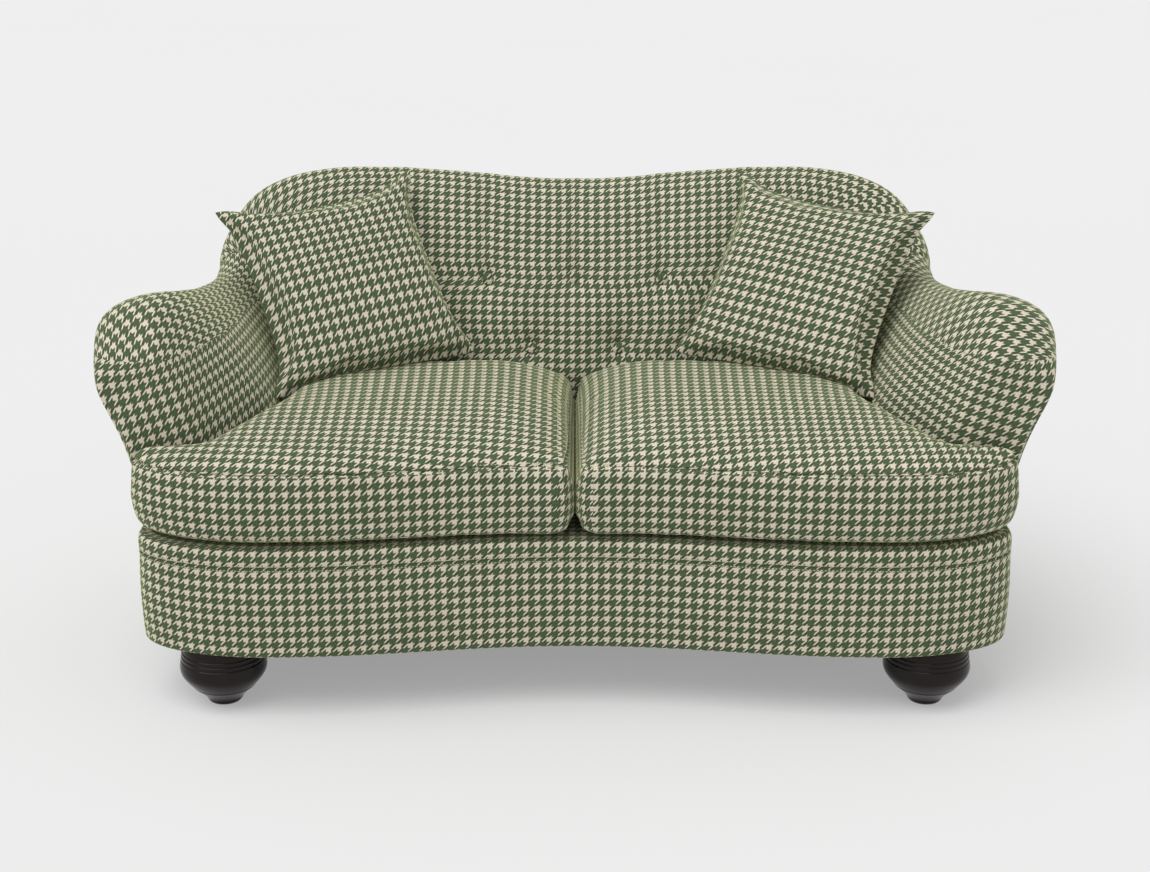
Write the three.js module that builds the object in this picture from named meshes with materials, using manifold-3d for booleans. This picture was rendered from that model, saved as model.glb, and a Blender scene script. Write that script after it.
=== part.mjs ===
// High back settee: a two-seat upholstered settee with a bowed plan, on turned feet.
// Millimetres, +Z up, front towards -Y, origin on the floor below the middle of the settee.

import * as THREE from 'three';
import { mergeVertices } from 'three/addons/utils/BufferGeometryUtils.js';
import Module from 'manifold-3d';

const wasm = await Module();
wasm.setup();

// Whole settee
const armSpan = 1764;
const overallDepth = 890;
const humpHeight = 863;
const centreDip = 27;
const dipReachShare = 0.46;
const armHeight = 736;
const clearance = 0.3;
const cutOverrun = 40;
const weld = 1e-4;

// Base
const baseOverhang = 77;
const baseWidth = armSpan - 2 * baseOverhang;
const frontHollow = 50;
const frontCornerWidth = 245;
const frontCornerDepth = 110;
const hollowHalfWidth = baseWidth / 2 - frontCornerWidth;
const sideTaper = 16;
const rearCornerWidth = 230;
const rearCornerDepth = 150;
const backBow = 22;
const backRake = 14;
const borderBottom = 118;
const borderTop = 297;
const borderThickness = 22;
const borderEdgeRound = 14;
const lipHeight = 34.7;
const lipRound = 9;
const roundShare = 0.3;
const cornerWrap = 195;
const sideBorderStart = overallDepth / 2 - cornerWrap;

// Base frame
const railBottom = 122.1;
const railHeight = 128;
const railThickness = 28;
const cornerBlockLength = 175;
const frontBlockDepth = 120;
const rearBlockDepth = 186;
const crossRailOffset = 190;
const crossRailThickness = 28;
const webbingThickness = 2.4;
const webbingWidth = 56;
const webbingPitch = 190;
const webbingRows = 3;
const webbingRowPitch = 190;
const dustCoverThickness = 1.5;

// Upholstered shell: arms and back
const armThickness = 257;
const backThickness = 304;
const seatHalfWidth = baseWidth / 2 - armThickness;
const seatBackY = overallDepth / 2 - backThickness;
const wellHeight = 150;
const padThickness = 74;
const crestPad = 46;
const panelThickness = 12;
const hollowRollShare = 1.4;
const hollowSinkShare = 0.3;
const rollDrop = 96;
const backRollDrop = 62;
const dropBlend = 2;
const dropLimitShare = 0.4;
const panelSeamDrop = 46;
const outsideSetback = 5;
const ribThickness = 18;
const legWidth = 58;
const topRailWidth = 34;
const topRailDepth = 26;
const backRibOffset = 330;
const topRailSink = 12;
const tackRailHeight = 36;
const tackRailThickness = 22;
const armRibPlaces = [-196, 46];
const ribHoleRadius = 30;
const ribHoleRise = 120;
const ribHoleSides = 16;

// Tufting
const buttonSpacing = 179;
const upperButtonHeight = 662;
const lowerButtonHeight = 531;
const buttonRadius = 12;
const buttonThickness = 6;
const buttonPocket = 7;
const buttonSides = 10;
const tuftDepth = 13;
const tuftReach = 44;
const tuckDepth = 4;
const tuckReach = 22;

// Seat cushions
const cushionGap = 1.2;
const cushionOverhang = 10;
const cushionBottomRound = 9;
const cushionSeam = 142;
const seamTuck = 3;
const frontBulge = 5;
const edgeCrown = 40;
const edgeCrownReach = 66;
const broadCrown = 21;
const broadCrownReach = 230;
const cushionFit = 4;
const wingFrontGap = 6;
const cornerSoftness = 26;
const wingLead = 39;
const softnessSteps = 3;
const leastStep = 9;
const wingStation = 0.25;
const seatLineCount = 18;
const crownFromArm = 198;
const crownFromFront = 175;
const crownCentreX = seatHalfWidth - crownFromArm;
const crownCentreY = crownFromFront - overallDepth / 2;

// Scatter cushions
const scatterSize = 418;
const scatterTall = 408;
const scatterThickness = 120;
const scatterDrawIn = 15;
const scatterSteps = 12;
const scatterRim = 2.2;
const scatterFill = 0.6;
const scatterFromArm = 85;
const scatterFromBack = 35;
const scatterX = seatHalfWidth - scatterFromArm;
const scatterY = seatBackY - scatterFromBack;
const scatterHeight = 691.7;
const scatterTurn = 0.43;
const scatterLean = 0.68;
const scatterRoll = 0.105;

// Feet
const footHeight = 120;
const frontFootInset = 147;
const rearFootInset = 141;
const footFromFront = 86;
const footFromBack = 145;
const frontFootX = baseWidth / 2 - frontFootInset;
const frontFootY = footFromFront - overallDepth / 2;
const rearFootX = baseWidth / 2 - rearFootInset;
const rearFootY = overallDepth / 2 - footFromBack;
const boltRadius = 5;
const boltLength = 130;
const boltBottom = 58;
const footSides = 16;
const boltSides = 12;

const halfDepth = overallDepth / 2;
const halfBase = baseWidth / 2;
const frontY = -halfDepth;
const baseBackY = halfDepth - backRake;
const railTop = railBottom + railHeight;
const webbingTop = railTop + clearance + webbingThickness;
const platformTop = borderTop + clearance + lipHeight;
const shellBottom = platformTop + clearance;

// Plan shares of the seat well, from the arm front round to the middle of the back.
// Each row: across as a share of seatHalfWidth, forward as a share of the front half depth.
const armSeatShares = [
  [1.277, -0.724], [1.245, -0.712], [1.195, -0.63], [1.117, -0.483], [1.055, -0.337],
  [1.018, -0.135], [1.004, 0.045], [0.982, 0.2], [0.922, 0.255], [0.872, 0.279],
];
const backSeatShares = [
  [0.812, 0.294], [0.73, 0.303], [0.602, 0.31], [0.41, 0.315], [0.204, 0.317], [0, 0.317],
];

// The crest on the same stations: across as a share of half the arm span, back as a share
// of half the depth, rise from arm height (0) to hump height (1), and outward roll share.
const armCrestShares = [
  [0.862, -0.724, -1.0, 0.085], [0.867, -0.702, -0.6, 0.112], [0.873, -0.6, -0.26, 0.121],
  [0.879, -0.46, -0.04, 0.122], [0.868, -0.32, -0.02, 0.118], [0.835, -0.13, -0.2, 0.103],
  [0.8, 0.12, -0.36, 0.085], [0.782, 0.36, -0.31, 0.07], [0.764, 0.59, 0.2, 0.062],
  [0.72, 0.735, 0.76, 0.06],
];
const backCrestShares = [
  [0.66, 0.798, 0.94, 0.06], [0.565, 0.825, 1, 0.06], [0.442, 0.843, 1, 0.06],
  [0.282, 0.856, 1, 0.06], [0.136, 0.863, 1, 0.06], [0, 0.865, 1, 0.06],
];
const cornerStation = 7.5;

// Profile of the turned foot: radius as a share of the belly radius, height as a share of the foot.
const bellyRadius = 81;
const footProfileShares = [
  [0.36, 0], [0.41, 0.025], [0.42, 0.08], [0.47, 0.12], [0.56, 0.175], [0.6, 0.21],
  [0.65, 0.215], [0.76, 0.27], [0.88, 0.36], [0.965, 0.46], [1, 0.57], [0.975, 0.67],
  [0.93, 0.74], [0.9, 0.755], [0.91, 0.78], [0.86, 0.83], [0.83, 0.84], [0.835, 0.865],
  [0.74, 0.92], [0.62, 0.96], [0.62, 1],
];

// Finishes
const cloth = { color: 0x8e9a78, roughness: 0.9, metalness: 0 };
const cushionCloth = { color: 0x9ba883, roughness: 0.9, metalness: 0 };
const footWood = { color: 0x2a1712, roughness: 0.25, metalness: 0 };
const frameWood = { color: 0xc8a878, roughness: 0.75, metalness: 0 };
const plywood = { color: 0xd6bb8c, roughness: 0.7, metalness: 0 };
const webCloth = { color: 0x6d5d49, roughness: 0.95, metalness: 0 };
const blackCloth = { color: 0x1c1c1c, roughness: 0.95, metalness: 0 };
const steel = { color: 0x9a9a98, roughness: 0.35, metalness: 1 };

const settee = new THREE.Group();
const up = new THREE.Vector3(0, 0, 1);

function addPart(name, geometry, finish) {
  const mesh = new THREE.Mesh(geometry, new THREE.MeshStandardMaterial(finish));
  mesh.name = name;
  settee.add(mesh);
  return mesh;
}

// Copy of a geometry with positions alone and shared corners
function welded(geometry) {
  const bare = geometry.clone();
  bare.deleteAttribute('normal');
  bare.deleteAttribute('uv');
  return mergeVertices(bare, weld);
}

// Solid from a closed geometry
function toSolid(geometry) {
  const merged = welded(geometry);
  const mesh = new wasm.Mesh({
    numProp: 3,
    vertProperties: new Float32Array(merged.attributes.position.array),
    triVerts: new Uint32Array(merged.index.array),
  });
  return new wasm.Manifold(mesh);
}

// Geometry from a solid
function toGeometry(solid) {
  const mesh = solid.getMesh();
  const geometry = new THREE.BufferGeometry();
  geometry.setAttribute('position', new THREE.BufferAttribute(mesh.vertProperties, 3));
  geometry.setIndex(new THREE.BufferAttribute(mesh.triVerts, 1));
  geometry.computeVertexNormals();
  return geometry;
}

// Closed skin through rings of equal count. An end is capped across the ring's own plane, or
// by a fan to its own point where points are given.
function loft(rings, fans = null) {
  const count = rings[0].length;
  const positions = rings.flat().flatMap((p) => [p.x, p.y, p.z]);
  const index = [];
  for (let i = 0; i + 1 < rings.length; i += 1) {
    for (let k = 0; k < count; k += 1) {
      const a = i * count + k;
      const b = i * count + ((k + 1) % count);
      index.push(a, b, a + count, b, b + count, a + count);
    }
  }
  const last = (rings.length - 1) * count;
  if (fans) {
    fans.forEach((p) => positions.push(p.x, p.y, p.z));
    for (let k = 0; k < count; k += 1) {
      const next = (k + 1) % count;
      index.push(last + count, next, k, last + count + 1, last + k, last + next);
    }
  } else {
    for (const [a, b, c] of capTriangles(rings[0])) index.push(a, c, b);
    for (const [a, b, c] of capTriangles(rings[rings.length - 1])) index.push(last + a, last + b, last + c);
  }
  const geometry = new THREE.BufferGeometry();
  geometry.setAttribute('position', new THREE.Float32BufferAttribute(positions, 3));
  geometry.setIndex(index);
  return facingOut(geometry);
}

function capTriangles(ring) {
  const normal = new THREE.Vector3();
  ring.forEach((p, i) => normal.add(p.clone().cross(ring[(i + 1) % ring.length])));
  normal.normalize();
  const across = new THREE.Vector3(1, 0, 0);
  if (Math.abs(normal.x) > Math.abs(normal.y)) across.set(0, 1, 0);
  const u = across.sub(normal.clone().multiplyScalar(across.dot(normal))).normalize();
  const v = normal.clone().cross(u);
  const flat = ring.map((p) => new THREE.Vector2(p.dot(u), p.dot(v)));
  return THREE.ShapeUtils.triangulateShape(flat, []);
}

// Turns a closed geometry so that its faces point outwards
function facingOut(geometry) {
  const p = geometry.attributes.position;
  const index = geometry.index;
  const corner = (i) => new THREE.Vector3().fromBufferAttribute(p, index.getX(i));
  let volume = 0;
  for (let i = 0; i < index.count; i += 3) {
    volume += corner(i).dot(corner(i + 1).cross(corner(i + 2)));
  }
  if (volume < 0) {
    for (let i = 0; i < index.count; i += 3) {
      const b = index.getX(i + 1);
      index.setX(i + 1, index.getX(i + 2));
      index.setX(i + 2, b);
    }
  }
  geometry.computeVertexNormals();
  return geometry;
}

function boxGeometry(x0, x1, y0, y1, z0, z1) {
  const box = new THREE.BoxGeometry(x1 - x0, y1 - y0, z1 - z0);
  return box.translate((x0 + x1) / 2, (y0 + y1) / 2, (z0 + z1) / 2);
}

const boxSolid = (...limits) => toSolid(boxGeometry(...limits));

// Solid turned on a lathe from a profile that starts and ends on its axis
function turnedSolid(profile, sides) {
  return toSolid(facingOut(welded(new THREE.LatheGeometry(profile, sides).rotateX(Math.PI / 2))));
}

function postSolid(x, y, z0, z1, radius, sides) {
  const rod = new THREE.CylinderGeometry(radius, radius, z1 - z0, sides);
  rod.rotateX(Math.PI / 2);
  return toSolid(rod.translate(x, y, (z0 + z1) / 2));
}

// Base plan: right half from the middle of the front round to the middle of the back

const waveSteps = 7;
const cornerSteps = 6;
const sideSteps = 2;
const backSteps = 4;

function frontLineY(x) {
  const across = Math.min(Math.abs(x), hollowHalfWidth);
  return frontY + (frontHollow * (1 + Math.cos((Math.PI * across) / hollowHalfWidth))) / 2;
}

function halfBasePlan() {
  const points = [];
  for (let i = 0; i <= waveSteps; i += 1) {
    const x = (hollowHalfWidth * i) / waveSteps;
    points.push(new THREE.Vector2(x, frontLineY(x)));
  }
  const cornerWidth = halfBase - hollowHalfWidth;
  for (let i = 1; i <= cornerSteps; i += 1) {
    const a = (Math.PI / 2) * (i / cornerSteps);
    const x = hollowHalfWidth + cornerWidth * Math.sin(a);
    points.push(new THREE.Vector2(x, frontY + frontCornerDepth * (1 - Math.cos(a))));
  }
  const sideStart = frontY + frontCornerDepth;
  const sideEnd = baseBackY - backBow - rearCornerDepth;
  const rearHalf = halfBase - sideTaper;
  for (let i = 1; i <= sideSteps; i += 1) {
    const s = i / sideSteps;
    points.push(new THREE.Vector2(halfBase - sideTaper * s, sideStart + (sideEnd - sideStart) * s));
  }
  for (let i = 1; i <= cornerSteps; i += 1) {
    const a = (Math.PI / 2) * (i / cornerSteps);
    const x = rearHalf - rearCornerWidth * (1 - Math.cos(a));
    points.push(new THREE.Vector2(x, sideEnd + rearCornerDepth * Math.sin(a)));
  }
  const backEnd = rearHalf - rearCornerWidth;
  for (let i = 1; i <= backSteps; i += 1) {
    const x = backEnd * (1 - i / backSteps);
    points.push(new THREE.Vector2(x, baseBackY - backBow * (x / backEnd) ** 2));
  }
  return points;
}

function basePlan() {
  const half = halfBasePlan();
  const left = half.slice(1, -1).reverse().map((p) => new THREE.Vector2(-p.x, p.y));
  return [...half, ...left];
}

// Moves each point of a closed counter-clockwise outline inwards along its normal
function inset(outline, distance) {
  const n = outline.length;
  return outline.map((p, i) => {
    const along = outline[(i + 1) % n].clone().sub(outline[(i + n - 1) % n]).normalize();
    return new THREE.Vector2(p.x - along.y * distance, p.y + along.x * distance);
  });
}

const atHeight = (outline, z) => outline.map((p) => new THREE.Vector3(p.x, p.y, z));

function slab(outline, z0, z1) {
  return toSolid(loft([atHeight(outline, z0), atHeight(outline, z1)]));
}

function layers(outline, rows) {
  return toSolid(loft(rows.map(([distance, z]) => atHeight(inset(outline, distance), z))));
}

// Base border, in four pieces round the frame

const railOuter = borderThickness + 2 * clearance;
const railInner = railOuter + railThickness;

function borderRing() {
  const skin = layers(basePlan(), [
    [borderEdgeRound, borderBottom],
    [borderEdgeRound * roundShare, borderBottom + borderEdgeRound * roundShare],
    [0, borderBottom + borderEdgeRound],
    [0, borderTop - borderEdgeRound / 2],
    [borderEdgeRound * roundShare, borderTop],
  ]);
  const core = slab(inset(basePlan(), borderThickness), borderBottom - cutOverrun, borderTop + cutOverrun);
  return skin.subtract(core);
}

function addBorders() {
  const ring = borderRing();
  const wide = halfBase + cutOverrun;
  const deep = halfDepth + cutOverrun;
  const high = borderTop + cutOverrun;
  const joint = clearance / 2;
  const front = boxSolid(-wide, wide, -deep, -sideBorderStart - joint, 0, high);
  const back = boxSolid(-wide, wide, sideBorderStart + joint, deep, 0, high);
  const side = boxSolid(0, wide, -sideBorderStart + joint, sideBorderStart - joint, 0, high);
  const right = ring.intersect(side);
  addPart('front_border', toGeometry(ring.intersect(front)), cloth);
  addPart('back_border', toGeometry(ring.intersect(back)), cloth);
  addPart('right_side_border', toGeometry(right), cloth);
  addPart('left_side_border', toGeometry(right.mirror([1, 0, 0])), cloth);
}

// Base frame of rails, shaped corner blocks and cross rails

const footPlaces = {
  front_left: [-frontFootX, frontFootY],
  front_right: [frontFootX, frontFootY],
  rear_left: [-rearFootX, rearFootY],
  rear_right: [rearFootX, rearFootY],
};

function boltHole(x, y, z0, z1) {
  return postSolid(x, y, z0, z1, boltRadius + clearance, boltSides);
}

function addBaseFrame() {
  const outer = slab(inset(basePlan(), railOuter), railBottom, railTop);
  const inner = slab(inset(basePlan(), railInner), railBottom - cutOverrun, railTop + cutOverrun);
  const ring = outer.subtract(inner);
  const blockX = halfBase - cornerBlockLength;
  const frontBlockY = frontY + frontBlockDepth;
  const backBlockY = baseBackY - rearBlockDepth;
  const wide = halfBase;
  const z0 = railBottom - cutOverrun;
  const z1 = railTop + cutOverrun;
  const middle = blockX - clearance;
  const front = ring.intersect(boxSolid(-middle, middle, frontY, 0, z0, z1));
  const back = ring.intersect(boxSolid(-middle, middle, 0, halfDepth, z0, z1));
  addPart('front_rail', toGeometry(front), frameWood);
  addPart('back_rail', toGeometry(back), frameWood);
  const sideLimits = [frontBlockY + clearance, backBlockY - clearance, z0, z1];
  const side = ring.intersect(boxSolid(blockX, wide, ...sideLimits));
  addPart('right_side_rail', toGeometry(side), frameWood);
  addPart('left_side_rail', toGeometry(side.mirror([1, 0, 0])), frameWood);
  for (const [place, [x, y]] of Object.entries(footPlaces)) {
    const block = x > 0 ? [blockX, wide] : [-wide, -blockX];
    const depth = y < 0 ? [frontY, frontBlockY] : [backBlockY, halfDepth];
    const solid = outer.intersect(boxSolid(...block, ...depth, z0, z1));
    const drilled = solid.subtract(boltHole(x, y, z0, boltBottom + boltLength + clearance));
    addPart(`${place}_corner_block`, toGeometry(drilled), frameWood);
  }
  const well = slab(inset(basePlan(), railInner + clearance), railBottom, railTop);
  for (const [name, x] of [['left', -crossRailOffset], ['right', crossRailOffset]]) {
    const half = crossRailThickness / 2;
    const bar = well.intersect(boxSolid(x - half, x + half, frontY, halfDepth, z0, z1));
    addPart(`${name}_cross_rail`, toGeometry(bar), frameWood);
  }
}

// Seat webbing: crossed straps on top of the rails
function addWebbing(legSlots) {
  const z0 = railTop + clearance;
  const z1 = z0 + webbingThickness;
  const plan = slab(inset(basePlan(), railOuter + railThickness / 2), z0, z1);
  const half = webbingWidth / 2;
  const columns = Math.floor((halfBase - cornerBlockLength) / webbingPitch);
  let straps = boxSolid(-half, half, frontY, halfDepth, z0, z1);
  for (let i = -columns; i <= columns; i += 1) {
    const x = i * webbingPitch;
    straps = straps.add(boxSolid(x - half, x + half, frontY, halfDepth, z0, z1));
  }
  for (let i = 0; i < webbingRows; i += 1) {
    const y = (i - (webbingRows - 1) / 2) * webbingRowPitch;
    straps = straps.add(boxSolid(-halfBase, halfBase, y - half, y + half, z0, z1));
  }
  let web = straps.intersect(plan);
  for (const slot of legSlots) web = web.subtract(slot);
  addPart('seat_webbing', toGeometry(web), webCloth);
}

function addDustCover() {
  const plan = inset(basePlan(), borderThickness + clearance);
  const top = railBottom - clearance;
  let cover = slab(plan, top - dustCoverThickness, top);
  for (const [x, y] of Object.values(footPlaces)) {
    cover = cover.subtract(boltHole(x, y, borderBottom, railBottom + cutOverrun));
  }
  addPart('dust_cover', toGeometry(cover), blackCloth);
}

// Feet, turned, with a blind hole for the hanger bolt
function addFeet() {
  const profile = [new THREE.Vector2(0, 0)];
  for (const [r, z] of footProfileShares) {
    profile.push(new THREE.Vector2(r * bellyRadius, z * footHeight));
  }
  profile.push(new THREE.Vector2(0, footHeight));
  const turned = turnedSolid(profile, footSides);
  for (const [place, [x, y]] of Object.entries(footPlaces)) {
    const foot = turned.translate([x, y, 0]);
    const hole = boltHole(x, y, boltBottom - clearance, footHeight + cutOverrun);
    addPart(`${place}_foot`, toGeometry(foot.subtract(hole)), footWood);
    const bolt = postSolid(x, y, boltBottom, boltBottom + boltLength, boltRadius, boltSides);
    addPart(`${place}_foot_bolt`, toGeometry(bolt), steel);
  }
}

// Guide lines of the upholstered shell. A station runs from 0 at the arm front to the last
// row of the share tables at the middle of the back.

const seatShares = [...armSeatShares, ...backSeatShares];
const crestShares = [...armCrestShares, ...backCrestShares];
const lastStation = seatShares.length - 1;
const halfSpan = armSpan / 2;

function seatPoint([across, along]) {
  const reach = along < 0 ? halfDepth : seatBackY / backSeatShares[backSeatShares.length - 1][1];
  return new THREE.Vector3(across * seatHalfWidth, along * reach, shellBottom);
}

// The crest dips at the middle of the back
function dipAt(x) {
  const across = Math.min(Math.abs(x) / (halfSpan * dipReachShare), 1);
  return (centreDip * (1 + Math.cos(Math.PI * across))) / 2;
}

function crestPoint([across, along, rise]) {
  const x = across * halfSpan;
  const dip = rise < 1 ? 0 : dipAt(x);
  const z = armHeight + rise * (humpHeight - armHeight) - dip;
  return new THREE.Vector3(x, along * halfDepth, z);
}

// Rows of a table followed by the same rows on the left side
function bothSides(rows) {
  const left = rows.slice(0, -1).reverse().map(([across, ...others]) => [-across, ...others]);
  return [...rows, ...left];
}

const seatCurve = new THREE.CatmullRomCurve3(bothSides(seatShares).map(seatPoint));
const crestCurve = new THREE.CatmullRomCurve3(bothSides(crestShares).map(crestPoint));
const rollCurve = new THREE.CatmullRomCurve3(
  bothSides(crestShares).map((row, i) => new THREE.Vector3(i, row[3] * halfSpan, 0)),
);

// Where a level ray from one plan point through another leaves the base plan
const outerPlan = inset(basePlan(), outsideSetback);

function rayToOuter(from, towards) {
  const dir = new THREE.Vector2(towards.x - from.x, towards.y - from.y).normalize();
  let best = Infinity;
  outerPlan.forEach((a, i) => {
    const b = outerPlan[(i + 1) % outerPlan.length];
    const edge = b.clone().sub(a);
    const det = dir.x * -edge.y + dir.y * edge.x;
    if (det === 0) return;
    const ax = a.x - from.x;
    const ay = a.y - from.y;
    const far = (ax * -edge.y + ay * edge.x) / det;
    const along = (dir.x * ay - dir.y * ax) / det;
    if (far > 0 && along >= 0 && along <= 1 && far < best) best = far;
  });
  return new THREE.Vector3(from.x + dir.x * best, from.y + dir.y * best, shellBottom);
}

// The four guide points of one station, with the outward direction
function guides(station) {
  const share = station / (2 * lastStation);
  const seat = seatCurve.getPoint(share);
  const crest = crestCurve.getPoint(share);
  const out = new THREE.Vector3(crest.x - seat.x, crest.y - seat.y, 0).normalize();
  const widest = crest.clone().addScaledVector(out, rollCurve.getPoint(share).y);
  widest.z -= Math.min(dropAt(station), (crest.z - shellBottom) * dropLimitShare);
  return { seat, crest, widest, outer: rayToOuter(seat, crest), out };
}

// How far the widest part of the roll lies below the crest: more on the arms than on the back
function dropAt(station) {
  const fromFront = Math.min(station, 2 * lastStation - station);
  const armPart = THREE.MathUtils.clamp((cornerStation - fromFront) / dropBlend, 0, 1);
  return backRollDrop + (rollDrop - backRollDrop) * armPart;
}

function bezier(a, b, c, d, steps, includeEnd = false) {
  const curve = new THREE.CubicBezierCurve3(a, b, c, d);
  const points = curve.getPoints(steps);
  return includeEnd ? points : points.slice(0, -1);
}

const mix = (a, b, s) => a.clone().lerp(b, s);
const raised = (p, z) => new THREE.Vector3(p.x, p.y, z);

const wellTopShare = 0.55;
const wellMiddleShare = 0.6;
const leanShares = { out: 0.12, rise: 0.32 };
const overShares = { out: -0.36, rise: -0.08 };
const rollFullness = 0.55;
const underShare = 0.12;
const skirtShare = 0.66;
const wellPoints = 2;
const innerSteps = 7;
const hollowSteps = 4;
const rollSteps = 4;
const outerSteps = 4;

// One closed section of the shell: seat side, crest, roll and outside. A depth carries the
// section on straight down below the bottom of the shell.
function section({ seat, crest, widest, outer, out }, innerCount, depth = 0) {
  const wellTop = Math.min(shellBottom + wellHeight, mix(seat, crest, wellTopShare).z);
  const well = raised(seat, wellTop);
  const rise = crest.z - wellTop;
  const reach = Math.hypot(crest.x - seat.x, crest.y - seat.y);
  const rollReach = Math.hypot(widest.x - crest.x, widest.y - crest.y);
  const shifted = (p, across, higher) => p.clone().addScaledVector(out, across).addScaledVector(up, higher);
  const lean = shifted(well, reach * leanShares.out, rise * leanShares.rise);
  const over = shifted(crest, reach * overShares.out, rise * overShares.rise);
  const rollStart = shifted(crest, rollReach * rollFullness, 0);
  const rollEnd = shifted(widest, 0, (crest.z - widest.z) * rollFullness);
  const under = shifted(widest, 0, -(widest.z - shellBottom) * underShare);
  const skirt = raised(outer, shellBottom + (widest.z - shellBottom) * skirtShare);
  const points = [
    raised(seat, shellBottom - depth),
    raised(seat, mix(raised(seat, shellBottom), well, wellMiddleShare).z),
    ...bezier(well, lean, over, crest, innerCount),
    ...bezier(crest, rollStart, rollEnd, widest, rollSteps),
    ...bezier(widest, under, skirt, raised(outer, shellBottom), outerSteps, true),
  ];
  if (depth) points.push(raised(outer, shellBottom - depth));
  return points;
}

// Guide points of the hollow inside the padding, a further gap inwards where one is given
function hollowGuides(station, gap) {
  const g = guides(station);
  const wall = panelThickness + gap;
  const seat = g.seat.clone().addScaledVector(g.out, padThickness + gap);
  const crest = raised(g.crest, g.crest.z - crestPad - gap);
  const widest = g.widest.clone().addScaledVector(g.out, -wall * hollowRollShare);
  widest.z -= crestPad * hollowSinkShare;
  const outer = g.outer.clone().addScaledVector(g.out, -wall);
  return { seat, crest, widest, outer, out: g.out };
}

function shellSolid(stations) {
  const rings = stations.map((s) => section(guides(s), innerSteps));
  return toSolid(loft(tuftRings(rings, stations)));
}

// The hollow to cut from the shell, open at the bottom
function hollowSolid(stations) {
  return toSolid(loft(stations.map((s) => section(hollowGuides(s, 0), hollowSteps, cutOverrun))));
}

// The room left inside the shell for its ribs and rails
function roomSolid(stations) {
  return toSolid(loft(stations.map((s) => section(hollowGuides(s, clearance), hollowSteps))));
}

const bandStartShare = 0.62;
const bandReach = 290;

// Band below the roll on the outside, which the outside panels fill
function panelBand(stations, seamDrop) {
  const rings = stations.map((s) => {
    const g = guides(s);
    const middle = mix(g.seat, g.outer, bandStartShare);
    const beyond = g.outer.clone().addScaledVector(g.out, bandReach);
    const seam = g.widest.z - seamDrop;
    const low = shellBottom - cutOverrun;
    return [raised(middle, low), raised(g.crest, seam), raised(beyond, seam), raised(beyond, low)];
  });
  return toSolid(loft(rings));
}

// Tufting: each button draws the seat side of the back in, and a tuck runs up from the top row

const upperButtons = [-2, -1, 0, 1, 2].map((i) => [i * buttonSpacing, upperButtonHeight]);
const lowerButtons = [-1.5, -0.5, 0.5, 1.5].map((i) => [i * buttonSpacing, lowerButtonHeight]);
const buttons = [...upperButtons, ...lowerButtons];

function tuftRings(rings, stations) {
  return rings.map((ring, i) => {
    const { out, crest } = guides(stations[i]);
    return ring.map((p, k) => {
      const onSeatSide = k >= wellPoints && k <= wellPoints + innerSteps + 1;
      return onSeatSide ? p.clone().addScaledVector(out, tuftAt(p, crest)) : p;
    });
  });
}

function tuftAt(p, crest) {
  let depth = 0;
  for (const [x, z] of buttons) {
    const away = Math.hypot(p.x - x, p.z - z);
    depth = Math.max(depth, tuftDepth * Math.exp(-((away / tuftReach) ** 2)));
  }
  for (const [x, z] of upperButtons) {
    if (p.z < z || p.z > crest.z) continue;
    depth = Math.max(depth, tuckDepth * Math.exp(-(((p.x - x) / tuckReach) ** 2)));
  }
  return p.y > 0 ? depth : 0;
}

function spread(from, to, count) {
  return Array.from({ length: count + 1 }, (_, i) => from + ((to - from) * i) / count);
}

// Stations of the back close enough together for the tufts, the same on both sides
function backStations(gap, count) {
  return spread(cornerStation + gap, 2 * lastStation - cornerStation - gap, count);
}

const armStations = [0, 0.35, 0.8, 1.3, 1.8, 2.4, 3, 3.7, 4.5, 5.3, 6.1, 6.8];
const hollowStart = 2.1;
const hollowOverrun = 1;
const hollowLead = 0.6;
const armHollowCount = 8;
const backHollowCount = 22;
const stationGap = 0.012;
const panelLead = 0.03;
const seamGap = 1;
const backCount = 34;

const armEnd = cornerStation - stationGap;
const armHollow = spread(hollowStart + hollowLead, cornerStation + hollowOverrun, armHollowCount);
const armInside = [hollowStart, ...armHollow];
const armPanelInside = [hollowStart + panelLead, ...armHollow];
const backInside = backStations(-hollowOverrun, backHollowCount);
const armRoom = roomSolid(armPanelInside);
const backRoom = roomSolid(backInside);

function addArms() {
  const whole = shellSolid([...armStations, armEnd]).subtract(hollowSolid(armInside));
  const pad = whole.subtract(panelBand(armInside, panelSeamDrop));
  const panel = whole.intersect(panelBand(armPanelInside, panelSeamDrop + seamGap));
  addPart('right_arm', toGeometry(pad), cloth);
  addPart('left_arm', toGeometry(pad.mirror([1, 0, 0])), cloth);
  addPart('right_outside_arm', toGeometry(panel), cloth);
  addPart('left_outside_arm', toGeometry(panel.mirror([1, 0, 0])), cloth);
}

function addBack() {
  const whole = shellSolid(backStations(stationGap, backCount)).subtract(hollowSolid(backInside));
  const pad = whole.subtract(panelBand(backInside, panelSeamDrop));
  const panel = whole.intersect(panelBand(backInside, panelSeamDrop + seamGap));
  addPart('inside_back', toGeometry(addButtons(pad)), cloth);
  addPart('outside_back', toGeometry(panel), cloth);
}

// Profile of a covered button: shares of its radius and of its thickness
const buttonShares = [[0, 0], [0.96, 0], [1, 0.35], [0.7, 0.85], [0, 1]];

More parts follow.
